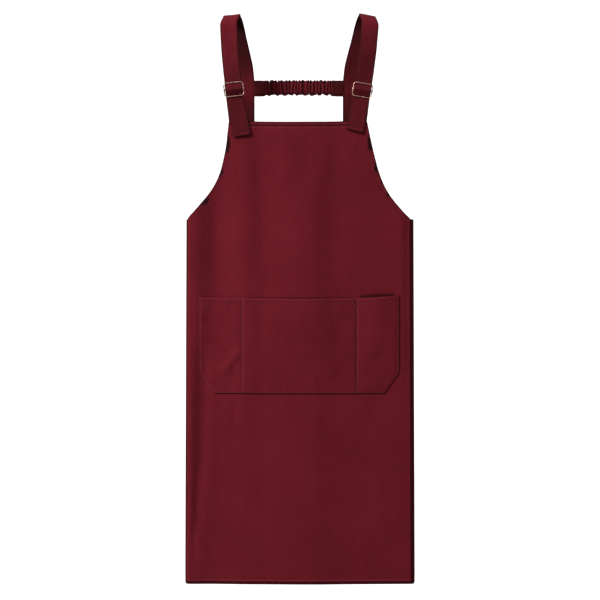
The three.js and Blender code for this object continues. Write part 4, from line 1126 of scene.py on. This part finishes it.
def makeBand():
    rows, height = band["rows"], band["height"]
    down = np.unique(np.concatenate([np.linspace(0, band["frill"] / height, 12), np.linspace(0, 1, rows - 14),
                                     np.linspace(1 - band["lowFrill"] / height, 1, 7)]))
    down = down[np.concatenate([[True], np.diff(down) > 0.004])]
    ends = [strapBackX(sideRow, course, -band["drop"] - down * height)
            - sideRow["side"] * (straps["width"] / 2 + hang["seatGap"])
            for sideRow, course in zip(sides, courses)]
    length = float(ends[1].mean() - ends[0].mean())
    share = np.linspace(0, 1, int(length / band["cell"]))
    x = ends[0][:, None] + (ends[1] - ends[0])[:, None] * share[None, :]
    run = share[None, :] * length + down[:, None] * 0
    depthDown = down[:, None] + run * 0
    inMiddle = ease((run - band["plainEnd"] * 0.7) / 14) * ease((length - run - band["plainEnd"] * 0.7) / 14)
    drift = 2.6 * wobble(run, 31, band["seed"]) + 1.1 * wobble(run + 40 * depthDown, 13, band["seed"] + 1)
    lean = 1.5 * wobble(run, 47, band["seed"] + 2) * (depthDown - 0.5) * 2
    phase = math.pi * (run + drift + lean) / band["pitch"]
    strength = (0.7 + 0.5 * wobble(run, 9, band["seed"] + 3)
                + 0.25 * ripples(run, depthDown * height, 12, 77, 5))
    topLine, lowLine = band["frill"] / height, 1 - band["lowFrill"] / height
    casing = ease((depthDown - topLine) / 0.06 + 0.5) * ease((lowLine - depthDown) / 0.05 + 0.5)
    topFrill = clamp(1 - depthDown / topLine)
    lowFrill = clamp(1 - (1 - depthDown) / (1 - lowLine))
    stitched = ridge(depthDown - topLine, 0.028) + ridge(depthDown - lowLine, 0.028)
    wave = np.sin(phase) * strength
    y0 = hang["loopDepth"] / 2 + backOff
    middleY = y0 + inMiddle * band["frillWave"] * wave * (topFrill ** 0.7 + 0.7 * lowFrill ** 0.7)
    waist = band["waist"] * inMiddle
    rise = inMiddle * band["frillRise"] * (np.cos(phase * 2) * strength * topFrill - wave * lowFrill)
    z = -band["drop"] - depthDown * (height - waist) + rise
    thin = mix(0.55, band["wall"] / 2, casing) * mix(1, 0.62, stitched * (1 - 0.3 * casing))

    def gathered(shift):  # how far the gathers stand out of the casing
        puff = np.abs(np.sin(phase + shift)) ** 0.7 - 0.55
        return inMiddle * band["depth"] * puff * strength * (0.35 + 0.65 * casing) * (1 - 0.55 * stitched)

    backward = np.maximum(thin + 0.5 * gathered(0.9), band["thinnest"])
    forward = np.maximum(thin + 0.8 * gathered(0), band["thinnest"])
    outer = np.stack([x, middleY - forward, z], -1)
    inner = np.stack([x, middleY + backward, z], -1)
    # painted shade in the gathers' valleys, on the stitch lines and over the whole band, and painted
    # highlights on the gathers' crests
    paintedShadeAndWear = -0.95 * inMiddle * (1 - ease(np.abs(np.sin(phase)) * 1.7)) - 0.6 * stitched - 0.5
    paintedShadeAndWear = paintedShadeAndWear + 0.65 * inMiddle * ease((np.abs(np.sin(phase)) - 0.7) * 4)
    uv = np.stack([run * band["fullness"], depthDown * height], -1) / 1000
    piece = wallMesh("back_band_casing", outer, inner, uv, paintedShadeAndWear)
    finishPiece(piece, gatheredTwill, "back_band")
    lines = []
    for at in (topLine, lowLine):
        row = int(np.argmin(np.abs(down - at)))
        lines.append(stitchLine(outer[row, 6:-6], np.tile([0, -1.0, 0], (len(share) - 12, 1))))
        lines.append(stitchLine(inner[row, 6:-6], np.tile([0, 1.0, 0], (len(share) - 12, 1))))
    sewn = sewPiece("back_band_stitching", lines)


makeBand()
print("band made")

# Pocket

pocket = {
    "width": 362.4, "offset": -1.9, "drop": 319, "height": 171.5, "hem": 10, "wall": 1.2, "seat": 0.5,
    "gape": 4.6, "cornerAcross": 27.5, "cornerUp": 37,
    "edgeStitch": 2.0, "mouthStitch": 8.5, "dividerGap": 2.7, "groove": 0.4, "pucker": 0.3,
}
# From the left: width as a share of the pocket's, gape as a share, and the mouth's height at its start,
# middle and end as shares of the hem
compartments = tableRows("width gape mouth", [
    (0.217, 0.95, [0.1, 0.05, 0]),
    (0.569, 1.0, [0, -0.12, 0]),
    (0.214, 1.1, [0.02, 0.2, 0.42]),
])
pocketCreases = tableRows("x z toX toZ width height", [
    (-140, -648, -108, -604, 8, 2.0),
    (-114, -632, -122, -684, 7, -1.9),
    (-172, -655, -140, -668, 7, 0.7),
    (-128, -520, -120, -534, 6, -1.1),
    (-100, -524, -98, -536, 5, -0.6),
    (-98, -560, -92, -580, 6, -1.1),
    (-170, -530, -160, -560, 10, -1.0),
    (60, -655, 88, -640, 8, -0.7),
    (172, -560, 172, -650, 6, 0.9),
    (150, -600, 128, -660, 12, -1.2),
    (70, -512, 66, -545, 5, 0.5),
])
pocketTop = bibTop - pocket["drop"]
pocketLeft = pocket["offset"] - pocket["width"] / 2
pocketRight = pocketLeft + pocket["width"]
dividers = [pocketLeft + compartments[0]["width"] * pocket["width"],
            pocketRight - compartments[2]["width"] * pocket["width"]]
# Bar tacks: rows of close stitches across the top of a seam, x and drop below the mouth
barTacks = tableRows("x drop", [(pocketRight - 6, 13), (dividers[1] - 9, 2), (dividers[1] - 3, 12),
                                (dividers[1] + 2, 20)])


def pocketShape(x):  # how far the pocket stands off its seams, and how high its mouth lies
    edges = [pocketLeft, *dividers, pocketRight]
    gape, mouth = np.zeros(np.shape(x)), np.zeros(np.shape(x))
    for start, end, row in zip(edges[:-1], edges[1:], compartments):
        here = (x >= start - 1e-6) & (x <= end + 1e-6)
        margin = pocket["dividerGap"] / 2 + 0.4
        inside = clamp((x - start) / (end - start))
        puffed = clamp((x - start - margin) / (end - start - 2 * margin))
        arch = np.maximum(np.sin(math.pi * puffed), 0) ** 0.9
        gape = np.where(here, arch * row["gape"] * pocket["gape"], gape)
        lift = readTable({"at": [0, 0.5, 1], "lift": row["mouth"]}, inside)
        mouth = np.where(here, lift * pocket["hem"], mouth)
    return gape, mouth


def pocketPlace(x, down, distance):  # x before the cut corners draw it in, and the share of the way down
    x, down = np.broadcast_arrays(np.asarray(x, float), np.asarray(down, float))
    cornerRow = 1 - pocket["cornerUp"] / pocket["height"]
    pull = np.maximum(0, (down - cornerRow) / (1 - cornerRow)) * pocket["cornerAcross"]
    leftShare = clamp((dividers[0] - x) / (dividers[0] - pocketLeft))
    rightShare = clamp((x - dividers[1]) / (pocketRight - dividers[1]))
    gape, mouth = pocketShape(x)
    z = pocketTop - down * pocket["height"] + mouth * (1 - down)
    placed = x + pull * leftShare - pull * rightShare
    standOff = gape * (1 - down) ** 0.7
    edge = np.minimum(np.minimum(x - pocketLeft, pocketRight - x), (1 - down) * pocket["height"])
    free = ease((edge - 3) / 12)
    creases = creaseHeight(pocketCreases, placed, z) * free
    small = 0.28 * ripples(placed, z, 46, 63) * free
    mouthDown = down * pocket["height"]
    groove = ridge(edge - pocket["edgeStitch"], 0.8)
    for seam in dividers:
        for sign in (-1, 1):
            groove = np.maximum(groove, ridge(x - seam - sign * pocket["dividerGap"] / 2, 0.7))
    groove = groove * ease(mouthDown / 2)
    hemGroove = ridge(mouthDown - pocket["mouthStitch"], 0.9) * ease(edge / 4)
    puckers = pocket["pucker"] * wobble(x, 16, 71) * ridge(mouthDown - 5, 6) * free
    puckers = puckers + pocket["pucker"] * wobble(z + x, 13, 72) * ridge(edge - 4, 3) * ease(mouthDown / 10)
    seat = pocket["seat"] * ease(edge / 3 + 0.3)
    height = seat + standOff + np.maximum(creases + small + puckers, -standOff - 0.1)
    surface = height - pocket["groove"] * (groove + 0.6 * hemGroove) * (distance > 0)
    lit = ease((pocketLeft + 8 - x) / 4)     # 1 on the left edge, which faces the light
    # painted shade along the pocket's edges, little on the left one, which faces the light, and in its stitch
    # grooves; painted highlights just inside the edges and at the mouth
    paintedShadeAndWear = mix(-0.8, -0.1, lit) * ridge(edge, 0.9) - 0.16 * groove - 0.12 * hemGroove
    paintedShadeAndWear = paintedShadeAndWear + mix(0.32, 0.5, lit) * ridge(edge - 1.9, 0.8)
    paintedShadeAndWear = paintedShadeAndWear * ease(mouthDown / 1.5) + 0.34 * ridge(mouthDown - 1.2, 0.9) * ease(edge / 2)
    # painted shade on one side of each divider seam, deep on the right one, and a painted highlight on its
    # other side
    for seam, dark in zip(dividers, (0.12, 0.9)):
        paintedShadeAndWear = paintedShadeAndWear - dark * ridge(x - seam + 1.4, 0.8) * ease(mouthDown / 3) * ease(edge / 2)
        paintedShadeAndWear = paintedShadeAndWear + 0.42 * ridge(x - seam - 1.6, 0.8) * ease(mouthDown / 3) * ease(edge / 2)
    return offFront(placed, z, cloth / 2 + surface + distance), placed, z, paintedShadeAndWear


def makePocket():
    near = np.array([0, 0.5, 1.1, 1.8, 2.6, 3.5, 4.6, 6, 8])
    seamNear = np.array([-5, -3.6, -2.7, -2.1, -1.35, -0.7, 0, 0.7, 1.35, 2.1, 2.7, 3.6, 5])
    x = joinSteps(pocketLeft + near, pocketRight - near, dividers[0] + seamNear, dividers[1] + seamNear,
                  steps(pocketLeft + 8, dividers[0] - 5, 2.8), steps(dividers[0] + 5, dividers[1] - 5, 2.8),
                  steps(dividers[1] + 5, pocketRight - 8, 2.8))
    height = pocket["height"]
    down = joinSteps(steps(0, 12, 1.1), steps(12, height - pocket["cornerUp"], 2.9),
                     steps(height - pocket["cornerUp"], height - 8, 2.6), height - near) / height
    outer, placed, z, paintedShadeAndWear = pocketPlace(x[None, :], down[:, None], pocket["wall"])
    inner, _, _, _ = pocketPlace(x[None, :], down[:, None], 0)
    uv = np.stack([placed, z], -1) / 1000
    piece = wallMesh("pocket_patch", outer, inner, uv, paintedShadeAndWear)
    finishPiece(piece, canvasTwill, "pocket")
    lines = []

    def sew(xs, downs):
        points, placedX, placedZ, _ = pocketPlace(xs, downs, pocket["wall"])
        lines.append(stitchLine(points, clothNormal(placedX + hang["bibLean"] * liftAt(placedZ), placedZ)))

    inset = pocket["edgeStitch"]
    sideDown = steps(1, height - inset, 1.5) / height
    sew(pocketLeft + inset + sideDown * 0, sideDown)
    sew(pocketRight - inset + sideDown * 0, sideDown)
    bottomX = steps(pocketLeft + inset, pocketRight - inset, 1.5)
    sew(bottomX, 1 - inset / height + bottomX * 0)
    mouthX = steps(pocketLeft + 4, pocketRight - 4, 1.5)
    sew(mouthX, pocket["mouthStitch"] / height + mouthX * 0)
    for seam in dividers:
        for sign in (-1, 1):
            sew(seam + sign * pocket["dividerGap"] / 2 + sideDown * 0, sideDown)
    for tack in barTacks:
        for row in np.linspace(-1, 1, 6):
            xs = tack["x"] + np.linspace(-2.6, 2.6, 5)
            sew(xs, (tack["drop"] + row) / height + xs * 0)
    sewn = sewPiece("pocket_stitching", lines)


makePocket()
print("pocket made")

# Stage, light and camera

stage = {"floor": -1450, "wall": 5200, "halfWidth": 5500, "front": -5200, "height": 4200, "bend": 1400,
         "glowFront": 0, "glowBack": 2200, "dim": 0.03, "bright": 1.0}


def paintedBoard():
    # Pale grey studio board, rolled emulsion: matt and even, with a painted glow that turns it white, faint
    # at the front and full further back behind the piece
    material, tree = newMaterial("pale studio board")
    spot = addNode(tree, "TexCoord")
    axes = addNode(tree, "SeparateXYZ", None, {"Vector": spot.outputs["Object"]})
    glow = addNode(tree, "MapRange", {
        "From Min": stage["glowFront"] / 1000, "From Max": stage["glowBack"] / 1000,
        "To Min": stage["dim"], "To Max": stage["bright"]}, {"Value": axes.outputs["Y"]})
    speckle = addNode(tree, "TexNoise", {"Scale": 300.0, "Detail": 2.0})
    roughness = addNode(tree, "Math", {"operation": "MULTIPLY_ADD", 1: 0.1, 2: 0.85}, {0: speckle})
    shader = addNode(tree, "BsdfPrincipled", {
        "Base Color": hexToLinear("#9c9c9c"), "Emission Color": hexToLinear("#ffffff"),
        "Specular IOR Level": 0.1,
    }, {"Roughness": roughness, "Emission Strength": glow})
    addNode(tree, "OutputMaterial", None, {"Surface": shader})
    return material


def makeStage():
    # One sweep: a floor that bends up into the wall behind
    turn = np.linspace(0, math.pi / 2, 14)
    floor, wall, bend = stage["floor"], stage["wall"], stage["bend"]
    y = np.concatenate([[stage["front"]], wall - bend + bend * np.sin(turn), [wall]])
    z = np.concatenate([[floor], floor + bend * (1 - np.cos(turn)), [stage["height"]]])
    points = [(x, yy, zz) for yy, zz in zip(y, z) for x in (-stage["halfWidth"], stage["halfWidth"])]
    faces = [(2 * i, 2 * i + 1, 2 * i + 3, 2 * i + 2) for i in range(len(y) - 1)]
    sweep = addMesh("studio_sweep", points, faces)
    sweep.data.materials.append(paintedBoard())


def addLamp(name, place, aim, width, height, power, colour):
    data = bpy.data.lights.new(name, "AREA")
    data.shape = "RECTANGLE"
    data.size, data.size_y, data.energy = width, height, power
    data.color = hexToLinear(colour)[:3]
    lamp = bpy.data.objects.new(name, data)
    bpy.context.collection.objects.link(lamp)
    lamp.location = place
    lamp.rotation_euler = (Vector(aim) - Vector(place)).to_track_quat("-Z", "Y").to_euler()


lamps = {
    "key": {"place": (-3.9, -2.8, 2.7), "width": 1.0, "height": 1.8, "power": 495, "colour": "#fff8f2"},
    "fill": {"place": (2.4, -2.9, 1.4), "width": 1.8, "height": 1.8, "power": 34, "colour": "#f4f6ff"},
    "top": {"place": (0.0, -1.1, 1.5), "width": 1.6, "height": 1.0, "power": 10, "colour": "#ffffff"},
}
makeStage()
for name, lamp in lamps.items():
    addLamp(name, lamp["place"], (0, 0, -0.5), lamp["width"], lamp["height"], lamp["power"], lamp["colour"])

surround = {"colour": "#ffffff", "strength": 0.13}
world = bpy.data.worlds.new("studio")
world.use_nodes = True
background = world.node_tree.nodes["Background"].inputs
background["Color"].default_value = hexToLinear(surround["colour"])
background["Strength"].default_value = surround["strength"]
bpy.context.scene.world = world
bpy.context.scene.view_settings.view_transform = "Standard"

view = {"distance": 3.2, "halfFrame": 0.54, "height": -0.5148, "frontPlane": -0.022}
cameraData = bpy.data.cameras.new("camera")
cameraData.sensor_width = 36
cameraData.lens = cameraData.sensor_width / 2 * view["distance"] / view["halfFrame"]
camera = bpy.data.objects.new("camera", cameraData)
bpy.context.collection.objects.link(camera)
camera.location = (0, view["frontPlane"] - view["distance"], view["height"])
camera.rotation_euler = (math.pi / 2, 0, 0)
bpy.context.scene.camera = camera
print("stage, lamps and camera ready")
